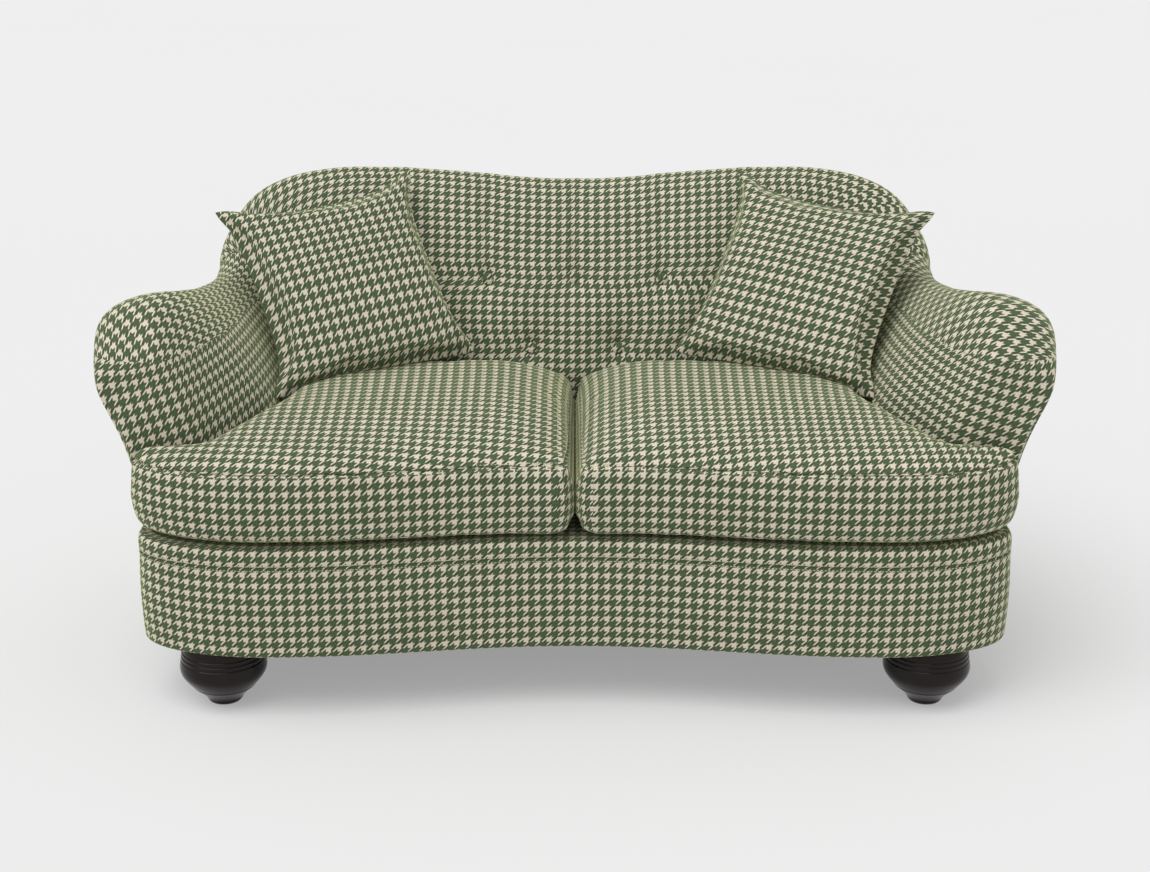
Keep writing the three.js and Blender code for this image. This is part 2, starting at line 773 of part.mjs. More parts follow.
// Covered buttons, each in a pocket at the bottom of its tuft
function addButtons(pad) {
  const skin = new THREE.Mesh(toGeometry(pad));
  let pocketed = pad;
  buttons.forEach(([x, z], i) => {
    const seat = surfaceAt(skin, x, z);
    const turn = new THREE.Quaternion().setFromUnitVectors(up, seat.normal);
    const floor = seat.point.clone().addScaledVector(seat.normal, -buttonPocket);
    const room = buttonRadius + clearance;
    const pocket = new THREE.CylinderGeometry(room, room, cutOverrun, buttonSides);
    pocket.rotateX(Math.PI / 2).translate(0, 0, cutOverrun / 2).applyQuaternion(turn);
    pocketed = pocketed.subtract(toSolid(pocket.translate(...floor.toArray())));
    const outline = buttonShares.map(([r, h]) => new THREE.Vector2(r * buttonRadius, h * buttonThickness));
    const dome = toGeometry(turnedSolid(outline, buttonSides));
    const button = addPart(`tuft_button_${i + 1}`, dome, cloth);
    button.position.copy(floor).addScaledVector(seat.normal, clearance);
    button.quaternion.copy(turn);
  });
  return pocketed;
}

// Point and normal of the pad's face straight behind a place seen from the front
function surfaceAt(skin, x, z) {
  const reach = buttonRadius;
  const hit = (dx, dz) => {
    const from = new THREE.Vector3(x + dx, frontY, z + dz);
    return new THREE.Raycaster(from, new THREE.Vector3(0, 1, 0)).intersectObject(skin)[0].point;
  };
  const across = hit(reach, 0).sub(hit(-reach, 0));
  const along = hit(0, reach).sub(hit(0, -reach));
  return { point: hit(0, 0), normal: across.cross(along).normalize() };
}

// Rails that run round inside the shell
function sweptRail(stations, corners) {
  return toSolid(loft(stations.map((s) => corners(guides(s)))));
}

const topRailCorners = (grow) => ({ crest, out }) => {
  const half = topRailWidth / 2 + grow;
  const high = crest.z - crestPad - topRailSink + grow;
  const low = high - topRailDepth - 2 * grow;
  const inner = crest.clone().addScaledVector(out, -half);
  const outer = crest.clone().addScaledVector(out, half);
  return [raised(inner, low), raised(inner, high), raised(outer, high), raised(outer, low)];
};

const tackRailInner = padThickness + 2 * clearance;

// The notch for this rail is open towards the seat
const tackRailCorners = (grow) => ({ seat, out }) => {
  const low = shellBottom - grow;
  const high = shellBottom + tackRailHeight + grow;
  const inner = seat.clone().addScaledVector(out, grow ? 0 : tackRailInner);
  const outer = seat.clone().addScaledVector(out, tackRailInner + tackRailThickness + grow);
  return [raised(inner, low), raised(inner, high), raised(outer, high), raised(outer, low)];
};

const railCount = 26;
const armRail = spread(hollowStart + hollowLead, armEnd, armHollowCount);
const armRailStations = [hollowStart + 2 * panelLead, ...armRail];
const backRailStations = backStations(stationGap, railCount);

function addShellRails() {
  for (const [kind, corners] of [['top_rail', topRailCorners(0)], ['tack_rail', tackRailCorners(0)]]) {
    const arm = sweptRail(armRailStations, corners).intersect(armRoom);
    const back = sweptRail(backRailStations, corners).intersect(backRoom);
    addPart(`right_arm_${kind}`, toGeometry(arm), frameWood);
    addPart(`left_arm_${kind}`, toGeometry(arm.mirror([1, 0, 0])), frameWood);
    addPart(`back_${kind}`, toGeometry(back), frameWood);
  }
}

// Plywood ribs: profile of the inside of the shell, with a leg down to the base rail

function sideX(y) {
  const start = frontY + frontCornerDepth;
  const end = baseBackY - backBow - rearCornerDepth;
  return halfBase - (sideTaper * (y - start)) / (end - start);
}

function backY(x) {
  return baseBackY - backBow * (x / (halfBase - sideTaper - rearCornerWidth)) ** 2;
}

const legTop = shellBottom + legWidth;

function legSlot([x0, x1, y0, y1]) {
  return boxSolid(x0 - clearance, x1 + clearance, y0 - clearance, y1 + clearance, railTop, legTop);
}

function ribSolid(plate, leg, room, cuts) {
  const standing = boxSolid(...leg, railTop + clearance, legTop);
  let rib = room.intersect(boxSolid(...plate, 0, humpHeight)).add(standing);
  for (const cut of cuts) rib = rib.subtract(cut);
  return rib;
}

function ribHole(x, y) {
  const drum = new THREE.CylinderGeometry(ribHoleRadius, ribHoleRadius, 2 * cutOverrun, ribHoleSides);
  if (Math.abs(x) < Math.abs(y)) drum.rotateZ(Math.PI / 2);
  return toSolid(drum.translate(x, y, shellBottom + ribHoleRise));
}

// Adds the ribs and returns the slots that their legs need in the seat
function addRibs() {
  const notches = (stations) => (
    [topRailCorners, tackRailCorners].map((corners) => sweptRail(stations, corners(clearance)))
  );
  const slots = [];
  const armNotches = notches(armRailStations);
  armRibPlaces.forEach((y, i) => {
    const outer = sideX(y) - railOuter - clearance;
    const limits = [y - ribThickness / 2, y + ribThickness / 2];
    const leg = [outer - legWidth, outer, ...limits];
    const hole = ribHole(outer - legWidth / 2, y);
    const rib = ribSolid([0, halfSpan, ...limits], leg, armRoom, [...armNotches, hole]);
    slots.push(legSlot(leg), legSlot(leg).mirror([1, 0, 0]));
    addPart(`right_arm_rib_${i + 1}`, toGeometry(rib), plywood);
    addPart(`left_arm_rib_${i + 1}`, toGeometry(rib.mirror([1, 0, 0])), plywood);
  });
  const backNotches = notches(backRailStations);
  [-backRibOffset, 0, backRibOffset].forEach((x, i) => {
    const outer = backY(Math.abs(x) + ribThickness / 2) - railOuter - clearance;
    const limits = [x - ribThickness / 2, x + ribThickness / 2];
    const leg = [...limits, outer - legWidth, outer];
    const hole = ribHole(x, outer - legWidth);
    const rib = ribSolid([...limits, 0, halfDepth], leg, backRoom, [...backNotches, hole]);
    slots.push(legSlot(leg));
    addPart(`back_rib_${i + 1}`, toGeometry(rib), plywood);
  });
  return slots;
}

// Seat platform: padded deck with a lip that stands over the border
function addPlatform(legSlots) {
  const core = borderThickness + clearance;
  const lipBottom = borderTop + clearance;
  let deck = layers(basePlan(), [
    [core, webbingTop + clearance],
    [core, lipBottom],
    [lipRound * roundShare, lipBottom],
    [0, lipBottom + lipRound * roundShare],
    [0, platformTop - lipRound],
    [lipRound * roundShare, platformTop - lipRound * roundShare],
    [lipRound, platformTop],
  ]);
  for (const slot of legSlots) deck = deck.subtract(slot);
  addPart('seat_platform', toGeometry(deck), cloth);
}

// Seat cushions: T-shaped, boxed and crowned

function cornerArc(before, corner, after, radius) {
  const a = corner.clone().add(before.clone().sub(corner).setLength(radius));
  const b = corner.clone().add(after.clone().sub(corner).setLength(radius));
  return new THREE.QuadraticBezierCurve(a, corner, b).getPoints(softnessSteps);
}

function cushionPlan() {
  const flat = (v) => new THREE.Vector2(v.x, v.y);
  const start = new THREE.Vector2(cushionGap, frontLineY(cushionGap) - cushionOverhang);
  const rim = inset(basePlan(), -cushionOverhang).filter((p) => p.x > cushionGap + cornerSoftness);
  const armFront = armSeatShares[0][1] * halfDepth - wingFrontGap;
  const front = rim.filter((p) => p.y < armFront - wingLead);
  const wing = new THREE.Vector2(sideX(armFront) + cushionOverhang, armFront);
  const seatLine = [];
  for (const s of spread(wingStation, lastStation, seatLineCount)) {
    const { seat, out } = guides(s);
    seatLine.push(flat(seat.addScaledVector(out, -cushionFit)));
  }
  const inner = seatLine.filter((p) => p.x > cushionGap + cornerSoftness && p.y > armFront + cushionFit);
  const wingInner = new THREE.Vector2(inner[0].x + wingFrontGap, armFront);
  const rear = new THREE.Vector2(cushionGap, seatBackY - cushionFit);
  const points = [
    ...cornerArc(rear, start, front[0], cornerSoftness),
    ...front,
    ...cornerArc(front[front.length - 1], wing, wingInner, cornerSoftness),
    wingInner,
    ...inner,
    ...cornerArc(inner[inner.length - 1], rear, start, cornerSoftness),
  ];
  return points.filter((p, i) => i === 0 || p.distanceTo(points[i - 1]) > leastStep);
}

function distanceInside(plan, p) {
  let best = Infinity;
  plan.forEach((a, i) => {
    const b = plan[(i + 1) % plan.length];
    const edge = b.clone().sub(a);
    const s = Math.min(1, Math.max(0, p.clone().sub(a).dot(edge) / edge.lengthSq()));
    best = Math.min(best, p.distanceTo(a.clone().addScaledVector(edge, s)));
  });
  return best;
}

// Height of the crown above the seam, at a distance in from the edge
function crownAt(distance) {
  const near = Math.min(distance / edgeCrownReach, 1);
  const far = Math.min(distance / broadCrownReach, 1);
  return edgeCrown * (1 - (1 - near) ** 2) + broadCrown * (1 - (1 - far) ** 2);
}

const crownRingShares = [0.98, 0.93, 0.86, 0.76, 0.6, 0.4, 0.2];

function cushionGeometry() {
  const plan = cushionPlan();
  const low = platformTop + clearance;
  const seam = low + cushionSeam;
  const rows = [
    [frontBulge + cushionBottomRound, low],
    [frontBulge + cushionBottomRound * roundShare, low + cushionBottomRound * roundShare],
    [frontBulge, low + cushionBottomRound],
    [0, low + cushionSeam / 2],
    [frontBulge, seam - cushionBottomRound],
    [frontBulge + seamTuck, seam],
  ];
  const rings = rows.map(([distance, z]) => atHeight(inset(plan, distance), z));
  const rim = inset(plan, frontBulge + seamTuck);
  const middle = new THREE.Vector2(crownCentreX, crownCentreY);
  for (const share of crownRingShares) {
    rings.push(rim.map((p) => {
      const q = middle.clone().lerp(p, share);
      return new THREE.Vector3(q.x, q.y, seam + crownAt(distanceInside(rim, q)));
    }));
  }
  const heart = new THREE.Vector3(middle.x, middle.y, low);
  return loft(rings, [heart, raised(heart, seam + crownAt(distanceInside(rim, middle)))]);
}

function addSeatCushions() {
  const right = toSolid(cushionGeometry());
  addPart('right_seat_cushion', toGeometry(right), cushionCloth);
  addPart('left_seat_cushion', toGeometry(right.mirror([1, 0, 0])), cushionCloth);
}

// Scatter cushions: two faces that meet in a knife edge, with pointed corners. The edge that
// rests on the seat is straight, and the others are drawn in between their corners.
function scatterGeometry() {
  const n = scatterSteps;
  const half = scatterSize / 2;
  const halfTall = scatterTall / 2;
  const positions = [];
  const index = [];
  const ids = new Map();
  const vertex = (i, j, side) => {
    const rim = i === 0 || j === 0 || i === n || j === n;
    const key = `${i},${j},${rim ? 0 : side}`;
    if (ids.has(key)) return ids.get(key);
    const u = (2 * i) / n - 1;
    const v = (2 * j) / n - 1;
    const swell = ((1 - Math.abs(u) ** scatterRim) * (1 - Math.abs(v) ** scatterRim)) ** scatterFill;
    positions.push(u * (half - scatterDrawIn * (1 - v * v)));
    positions.push((side * scatterThickness * swell) / 2);
    positions.push(v * (halfTall - (v > 0 ? scatterDrawIn * (1 - u * u) : 0)));
    ids.set(key, ids.size);
    return ids.size - 1;
  };
  for (const side of [-1, 1]) {
    for (let i = 0; i < n; i += 1) {
      for (let j = 0; j < n; j += 1) {
        const quad = [[0, 0], [1, 0], [1, 1], [0, 1]].map(([a, b]) => vertex(i + a, j + b, side));
        const [a, b, c, d] = side < 0 ? quad : [...quad].reverse();
        index.push(a, b, c, a, c, d);
      }
    }
  }
  const geometry = new THREE.BufferGeometry();
  geometry.setAttribute('position', new THREE.Float32BufferAttribute(positions, 3));
  geometry.setIndex(index);
  return facingOut(geometry);
}

function addScatterCushions() {
  for (const [name, side] of [['left', -1], ['right', 1]]) {
    const cushion = addPart(`${name}_scatter_cushion`, scatterGeometry(), cloth);
    cushion.rotation.order = 'ZXY';
    cushion.rotation.set(-scatterLean, side * scatterRoll, -side * scatterTurn);
    cushion.position.set(side * scatterX, scatterY, scatterHeight);
  }
}

addBorders();
addBaseFrame();
addFeet();
addArms();
addBack();
addShellRails();
const legSlots = addRibs();
addPlatform(legSlots);
addWebbing(legSlots);
addDustCover();
addSeatCushions();
addScatterCushions();

// The origin lies on the floor below the middle of the whole settee
const extent = new THREE.Box3().setFromObject(settee, true);
settee.position.y = -(extent.min.y + extent.max.y) / 2;

export default settee;
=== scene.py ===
"""High back settee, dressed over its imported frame: covers, cushions, feet and studio."""

import logging
import math
from dataclasses import dataclass, field
from enum import Enum
from typing import Callable

import bmesh
import bpy
from mathutils import Matrix, Vector, kdtree
from mathutils.bvhtree import BVHTree


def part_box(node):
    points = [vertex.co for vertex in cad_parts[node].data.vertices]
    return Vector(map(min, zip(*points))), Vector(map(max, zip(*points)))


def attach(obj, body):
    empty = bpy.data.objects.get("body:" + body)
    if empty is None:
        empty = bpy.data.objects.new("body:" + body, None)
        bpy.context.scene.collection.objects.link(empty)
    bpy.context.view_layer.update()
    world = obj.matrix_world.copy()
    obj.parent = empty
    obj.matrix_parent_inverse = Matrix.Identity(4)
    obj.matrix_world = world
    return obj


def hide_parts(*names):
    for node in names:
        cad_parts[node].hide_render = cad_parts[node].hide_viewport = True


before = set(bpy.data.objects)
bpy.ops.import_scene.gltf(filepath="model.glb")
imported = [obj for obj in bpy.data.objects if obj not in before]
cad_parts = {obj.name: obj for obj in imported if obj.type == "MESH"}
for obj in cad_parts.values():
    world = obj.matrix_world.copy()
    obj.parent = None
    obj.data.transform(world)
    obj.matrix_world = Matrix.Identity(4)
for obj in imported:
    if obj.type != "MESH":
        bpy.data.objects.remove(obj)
log = logging.getLogger("settee")

CLOTH_MAP = "cloth"
UP = Vector((0, 0, 1))

Place = Callable[[float, float], Vector]
Lay = Callable[[float, float, Vector], tuple[float, float]]


class Slot(Enum):
    """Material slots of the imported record."""

    COVER = "cover_cloth"
    SEAT = "seat_cushion_cloth"
    SCATTER = "scatter_cushion_cloth"
    FOOT = "foot_wood"
    FRAME = "frame_wood"
    RIB = "rib_plywood"
    BOLT = "bolt_steel"
    WEBBING = "webbing"
    BLACK = "black_cloth"


class Side(Enum):
    """Side of the settee, as the sign of X."""

    LEFT = -1
    RIGHT = 1

    @property
    def word(self) -> str:
        """Name of the side in piece and node names."""
        return self.name.lower()


# Shader maths


class Number:
    """A number inside a node tree, joined to others with Python operators."""

    def __init__(self, sheet: "NodeSheet", socket: bpy.types.NodeSocket) -> None:
        """Keeps the sheet that the number belongs to and its output socket."""
        self.sheet = sheet
        self.socket = socket

    def _math(self, operation: str, first: object, second: object = None) -> "Number":
        """Adds one Math node and returns its result."""
        values = {0: first} if second is None else {0: first, 1: second}
        made = self.sheet.node("ShaderNodeMath", {"operation": operation}, values)
        return Number(self.sheet, made.outputs[0])

    def __add__(self, other: object) -> "Number":
        """Sum."""
        return self._math("ADD", self, other)

    def __radd__(self, other: object) -> "Number":
        """Sum with a number on the left."""
        return self._math("ADD", other, self)

    def __sub__(self, other: object) -> "Number":
        """Difference."""
        return self._math("SUBTRACT", self, other)

    def __rsub__(self, other: object) -> "Number":
        """Difference from a number on the left."""
        return self._math("SUBTRACT", other, self)

    def __mul__(self, other: object) -> "Number":
        """Product."""
        return self._math("MULTIPLY", self, other)

    def __rmul__(self, other: object) -> "Number":
        """Product with a number on the left."""
        return self._math("MULTIPLY", other, self)

    def __truediv__(self, other: object) -> "Number":
        """Quotient."""
        return self._math("DIVIDE", self, other)

    def between(self) -> "Number":
        """Clamped to 0 and 1."""
        low = self._math("MAXIMUM", self, 0.0)
        return low._math("MINIMUM", low, 1.0)

    def fold(self, length: float) -> "Number":
        """Runs up to length and back down, over and over."""
        return self._math("PINGPONG", self, length)

    def size(self) -> "Number":
        """Absolute value."""
        return self._math("ABSOLUTE", self)


class NodeSheet:
    """Node tree of one finish, with a Principled surface at its end."""

    def __init__(self, name: str) -> None:
        """Starts an empty material.

        Args:
            name: Name of the material.
        """
        self.material = bpy.data.materials.new(name)
        self.material.use_nodes = True
        self.tree = self.material.node_tree
        self.tree.nodes.clear()

    def node(
        self, kind: str, settings: dict | None = None, values: dict | None = None
    ) -> bpy.types.Node:
        """Adds a node, sets it up and then feeds its sockets.

        Args:
            kind: Blender's node type.
            settings: Node properties.
            values: Numbers, colours or links by socket name or index.

        Returns:
            The new node.
        """
        made = self.tree.nodes.new(kind)
        for name, value in (settings or {}).items():
            setattr(made, name, value)
        for name, value in (values or {}).items():
            self.feed(made.inputs[name], value)
        return made

    def feed(self, socket: bpy.types.NodeSocket, value: object) -> None:
        """Links a value into a socket, or sets it there where it is plain.

        Args:
            socket: Input socket.
            value: Number of this sheet, output socket or plain value.
        """
        if isinstance(value, Number):
            self.tree.links.new(value.socket, socket)
        elif isinstance(value, bpy.types.NodeSocket):
            self.tree.links.new(value, socket)
        else:
            socket.default_value = value

    def number(self, socket: bpy.types.NodeSocket) -> Number:
        """Wraps an output socket for expressions."""
        return Number(self, socket)

    def blend(self, share: object, first: object, second: object) -> bpy.types.NodeSocket:
        """Mix of two colours.

        Args:
            share: Share of the second colour.
            first: Colour at share 0.
            second: Colour at share 1.

        Returns:
            The mixed colour's socket.
        """
        values = {0: share, 6: first, 7: second}
        return self.node("ShaderNodeMix", {"data_type": "RGBA"}, values).outputs[2]

    def speckle(self, place: object, scale: float, detail: float = 2.0) -> Number:
        """Soft noise between 0 and 1.

        Args:
            place: Place vector.
            scale: Fineness of the noise.
            detail: Layers of finer noise in it.

        Returns:
            The noise.
        """
        settings = {"noise_dimensions": "3D"}
        values = {"Vector": place, "Scale": scale, "Detail": detail}
        made = self.node("ShaderNodeTexNoise", settings, values)
        return self.number(made.outputs[0])

    def stretched(self, place: object, scale: tuple) -> bpy.types.NodeSocket:
        """Place vector scaled by a Mapping node."""
        return self.node("ShaderNodeMapping", None, {"Vector": place, "Scale": scale}).outputs[0]

    def parts(self, place: object) -> list[Number]:
        """X, Y and Z of a place vector."""
        apart = self.node("ShaderNodeSeparateXYZ", None, {0: place})
        return [self.number(part) for part in apart.outputs]

    def object_place(self) -> bpy.types.NodeSocket:
        """Object coordinates."""
        return self.node("ShaderNodeTexCoord").outputs["Object"]

    def bump(self, height: object, distance: float, strength: float = 1.0) -> bpy.types.NodeSocket:
        """Normal bumped by a height.

        Args:
            height: Height between 0 and 1.
            distance: Metres that a height of 1 stands for.
            strength: Share of the effect.

        Returns:
            The normal's socket.
        """
        values = {"Height": height, "Distance": distance, "Strength": strength}
        return self.node("ShaderNodeBump", None, values).outputs[0]

    def finish(self, values: dict) -> bpy.types.Material:
        """Ends the tree in a Principled surface.

        Args:
            values: Numbers, colours or links by the surface's socket names.

        Returns:
            The finished material.
        """
        surface = self.node("ShaderNodeBsdfPrincipled", None, values)
        end = self.node("ShaderNodeOutputMaterial")
        self.tree.links.new(surface.outputs[0], end.inputs[0])
        return self.material


def tone(red: int, green: int, blue: int) -> tuple[float, float, float, float]:
    """Linear colour from display values.

    Args:
        red: Red from 0 to 255.
        green: Green from 0 to 255.
        blue: Blue from 0 to 255.

    Returns:
        The colour with full opacity.
    """

    def linear(value: int) -> float:
        """One channel."""
        share = value / 255
        return share / 12.92 if share <= 0.04045 else ((share + 0.055) / 1.055) ** 2.4

    return (linear(red), linear(green), linear(blue), 1.0)


# Finishes


@dataclass(frozen=True)
class Houndstooth:
    """Woven houndstooth wool in green and cream, on the piece's own cloth map."""

    name: str
    repeat: float = 0.0213
    softness: float = 11.0
    thread_gain: float = 0.02
    twill_gain: float = 0.075
    leaf: tuple = tone(94, 110, 80)
    moss: tuple = tone(50, 67, 45)
    olive: tuple = tone(68, 68, 50)
    pale: tuple = tone(225, 226, 200)
    warm: tuple = tone(210, 198, 176)
    edge: tuple = tone(54, 50, 34)
    sheen_tint: tuple = tone(226, 240, 168)
    threads: int = 16
    stray: float = 0.0009

    def _band(self, value: Number, sharpness: float, gain: float = 0.0) -> Number:
        """Soft square wave of period 1.

        Args:
            value: Place along the wave.
            sharpness: Steepness of its edges.
            gain: Extra share of each period that is on, over one half.

        Returns:
            A number from 0 to 1.
        """
        near = (value - 0.25).fold(0.5)
        return (0.5 + (0.25 + gain - near) * sharpness).between()

    def material(self) -> bpy.types.Material:
        """Builds the cloth.

        Returns:
            The material.
        """
        sheet = NodeSheet(self.name)
        laid = sheet.node("ShaderNodeUVMap", {"uv_map": CLOTH_MAP}).outputs[0]
        stray = sheet.node("ShaderNodeTexNoise", None, {"Vector": laid, "Scale": 700.0})
        centred = sheet.node(
            "ShaderNodeVectorMath", {"operation": "SUBTRACT"},
            {0: stray.outputs["Color"], 1: (0.5, 0.5, 0.5)},
        )
        shifted = sheet.node(
            "ShaderNodeVectorMath", {"operation": "MULTIPLY_ADD"},
            {0: centred.outputs[0], 1: (self.stray, self.stray, 0), 2: laid},
        )
        x, y, _ = sheet.parts(shifted.outputs[0])
        across = x * (1 / self.repeat)
        along = y * (1 / self.repeat)
        warp = self._band(across, self.softness, self.thread_gain)
        weft = self._band(along, self.softness, self.thread_gain)
        twill = (across - along) * 2.0 + 0.5
        warp_up = self._band(twill, self.softness / 2, self.twill_gain)
        weft_up = self._band(twill + 0.5, self.softness / 2, self.twill_gain)
        both = warp * weft
        green_share = (both + warp * (1 - weft) * warp_up + weft * (1 - warp) * weft_up).between()
        neither = (1 - warp) * (1 - weft)
        # Threads: over and under in a fine twill
        over = self._band((across + along) * (self.threads / 4), 3.0)
        round_warp = (across * self.threads).fold(0.5) * 2.0
        round_weft = (along * self.threads).fold(0.5) * 2.0
        thread = round_weft + over * (round_warp - round_weft)
        fleck = sheet.speckle(laid, 620.0, 2.0)
        grain = sheet.speckle(laid, 1500.0, 1.0)
        drift = sheet.speckle(laid, 9.0, 3.0)
        heather = sheet.blend((fleck * 3.4 - 1.2).between(), self.moss, self.leaf)
        green = sheet.blend(0.35 + both * 0.65, self.olive, heather)
        cream = sheet.blend((neither * 0.75 + fleck * 0.9 - 0.4).between(), self.pale, self.warm)
        woven = sheet.blend(green_share, cream, green)
        rim = (green_share * (1 - green_share) * 2.2).between()
        lined = sheet.blend(rim, woven, self.edge)
        # Colour scale: painted shade, darker between thread crowns, plus random tone from the grain and
        # drift noise
        shade = 0.72 + thread * 0.14 + grain * 0.16 + drift * 0.18
        lit = sheet.node(
            "ShaderNodeVectorMath", {"operation": "SCALE"}, {0: lined, "Scale": shade}
        )
        return sheet.finish({
            "Base Color": lit.outputs[0],
            "Roughness": 0.94 - thread * 0.08,
            "Sheen Weight": 0.5,
            "Sheen Roughness": 0.3,
            "Sheen Tint": self.sheen_tint,
            "Specular IOR Level": 0.15,
            "Normal": sheet.bump(thread * 0.8 + grain * 0.5, 0.0006, 0.6),
        })


@dataclass(frozen=True)
class SewingThread:
    """Pale twisted sewing thread."""

    name: str = "sewing thread"

    def material(self) -> bpy.types.Material:
        """Builds the thread."""
        sheet = NodeSheet(self.name)
        place = sheet.object_place()
        twist = sheet.speckle(place, 1800.0, 1.0)
        drift = sheet.speckle(place, 60.0)
        return sheet.finish({
            "Base Color": sheet.blend(drift, tone(206, 202, 176), tone(180, 180, 150)),
            "Roughness": 0.8 + twist * 0.1,
            "Normal": sheet.bump(twist, 0.0003, 0.5),
        })


@dataclass(frozen=True)
class PolishedWood:
    """Dark stained and polished wood of the turned feet."""

    name: str = "polished foot wood"
    dark: tuple = tone(15, 9, 8)
    warm: tuple = tone(28, 17, 14)

    def material(self) -> bpy.types.Material:
        """Builds the wood."""
        sheet = NodeSheet(self.name)
        place = sheet.object_place()
        grain = sheet.speckle(sheet.stretched(place, (60.0, 60.0, 6.0)), 1.0, 5.0)
        cloud = sheet.speckle(place, 14.0)
        share = (grain * 1.3 - 0.35 + cloud * 0.2).between()
        return sheet.finish({
            "Base Color": sheet.blend(share, self.dark, self.warm),
            "Roughness": 0.15 + grain * 0.05,
            "Specular IOR Level": 0.2,
            "Coat Weight": 0.05,
            "Coat Roughness": 0.06,
            "Normal": sheet.bump(grain, 0.0003, 0.35),
        })


@dataclass(frozen=True)
class PlainTimber:
    """Sawn timber or plywood of the hidden frame."""

    name: str
    pale: tuple
    dark: tuple
    stretch: tuple
    ply: float = 0.0

    def material(self) -> bpy.types.Material:
        """Builds the timber."""
        sheet = NodeSheet(self.name)
        place = sheet.object_place()
        grain = sheet.speckle(sheet.stretched(place, self.stretch), 1.0, 4.0)
        fine = sheet.speckle(place, 220.0)
        share = (grain * 1.6 - 0.3).between()
        if self.ply:
            layer = (sheet.parts(place)[2] / self.ply).fold(0.5) * 2.0
            share = (share * 0.6 + layer * 0.4).between()
        return sheet.finish({
            "Base Color": sheet.blend(share, self.pale, self.dark),
            "Roughness": 0.62 + fine * 0.2,
            "Normal": sheet.bump(grain * 0.7 + fine * 0.3, 0.0006, 0.5),
        })


@dataclass(frozen=True)
class BrightSteel:
    """Zinc-plated steel of the foot bolts."""

    name: str = "bolt steel"

    def material(self) -> bpy.types.Material:
        """Builds the steel."""
        sheet = NodeSheet(self.name)
        place = sheet.object_place()
        thread = (sheet.parts(place)[2] * 800.0).fold(0.5)
        smear = sheet.speckle(place, 90.0)
        return sheet.finish({
            "Base Color": sheet.blend(smear, tone(176, 176, 172), tone(206, 204, 196)),
            "Metallic": 1.0,
            "Roughness": 0.26 + smear * 0.16,
            "Normal": sheet.bump(thread, 0.0005, 0.5),
        })


@dataclass(frozen=True)
class PlainWeave:
    """Plain woven utility cloth on object coordinates."""

    name: str
    pale: tuple
    dark: tuple
    pitch: float

    def material(self) -> bpy.types.Material:
        """Builds the cloth."""
        sheet = NodeSheet(self.name)
        place = sheet.object_place()
        x, y, _ = sheet.parts(place)
        across = (x / self.pitch).fold(0.5)
        along = (y / self.pitch).fold(0.5)
        weave = (across - along).size() * 2.0
        fluff = sheet.speckle(place, 400.0)
        return sheet.finish({
            "Base Color": sheet.blend((weave * 0.7 + fluff * 0.4).between(), self.dark, self.pale),
            "Roughness": 0.85 + fluff * 0.1,
            "Normal": sheet.bump(weave, 0.0006, 0.6),
        })


# Mesh helpers


def grid_sheet(columns: int, rows: int, place: Place, lay: Lay, flip: bool = False) -> bmesh.types.BMesh:
    """Grid bent into a sheet, with its cloth map.

    Args:
        columns: Cells across.
        rows: Cells up.
        place: Point for two shares from 0 to 1.
        lay: Cloth place in metres for the shares and the point.
        flip: Turns the faces round.

    Returns:
        The sheet.
    """
    bm = bmesh.new()
    bmesh.ops.create_grid(bm, x_segments=columns, y_segments=rows, size=0.5)
    shares = [(v.co.x + 0.5, v.co.y + 0.5) for v in bm.verts]
    bm.verts.index_update()
    for v, (s, t) in zip(bm.verts, shares):
        v.co = place(s, t)
    layer = bm.loops.layers.uv.new(CLOTH_MAP)
    for face in bm.faces:
        for loop in face.loops:
            s, t = shares[loop.vert.index]
            loop[layer].uv = lay(s, t, loop.vert.co)
    if flip:
        bmesh.ops.reverse_faces(bm, faces=bm.faces)
    return bm


def close_up(bm: bmesh.types.BMesh, distance: float = 1e-6) -> None:
    """Joins points that lie together and drops faces that have no area."""
    bmesh.ops.remove_doubles(bm, verts=bm.verts, dist=distance)
    bmesh.ops.dissolve_degenerate(bm, edges=bm.edges, dist=distance)


def piece_from(name: str, bm: bmesh.types.BMesh, material: bpy.types.Material) -> bpy.types.Object:
    """Object from a bmesh, smooth shaded, at the origin.

    Args:
        name: Piece name.
        bm: Mesh, freed here.
        material: Its finish.

    Returns:
        The new object.
    """
    mesh = bpy.data.meshes.new(name)
    bm.to_mesh(mesh)
    bm.free()
    mesh.materials.append(material)
    mesh.polygons.foreach_set("use_smooth", [True] * len(mesh.polygons))
    piece = bpy.data.objects.new(name, mesh)
    bpy.context.scene.collection.objects.link(piece)
    return piece


def refine(piece: bpy.types.Object) -> None:
    """Adds a subdivision surface of one level."""
    smooth = piece.modifiers.new("smooth", "SUBSURF")
    smooth.levels = 1
    smooth.render_levels = 1
    smooth.uv_smooth = "PRESERVE_BOUNDARIES"


def thicken(piece: bpy.types.Object, thickness: float) -> None:
    """Gives a sheet its thickness, inwards."""
    wall = piece.modifiers.new("thickness", "SOLIDIFY")
    wall.thickness = thickness
    wall.offset = -1.0


def seat_on(piece: bpy.types.Object, body: str, slot: Slot, *nodes: str) -> bpy.types.Object:
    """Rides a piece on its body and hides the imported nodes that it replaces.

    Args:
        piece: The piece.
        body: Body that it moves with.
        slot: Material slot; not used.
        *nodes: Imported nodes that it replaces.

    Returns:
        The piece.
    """
    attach(piece, body)
    if nodes:
        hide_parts(*nodes)
    log.info("%s rides on %s", piece.name, body)
    return piece


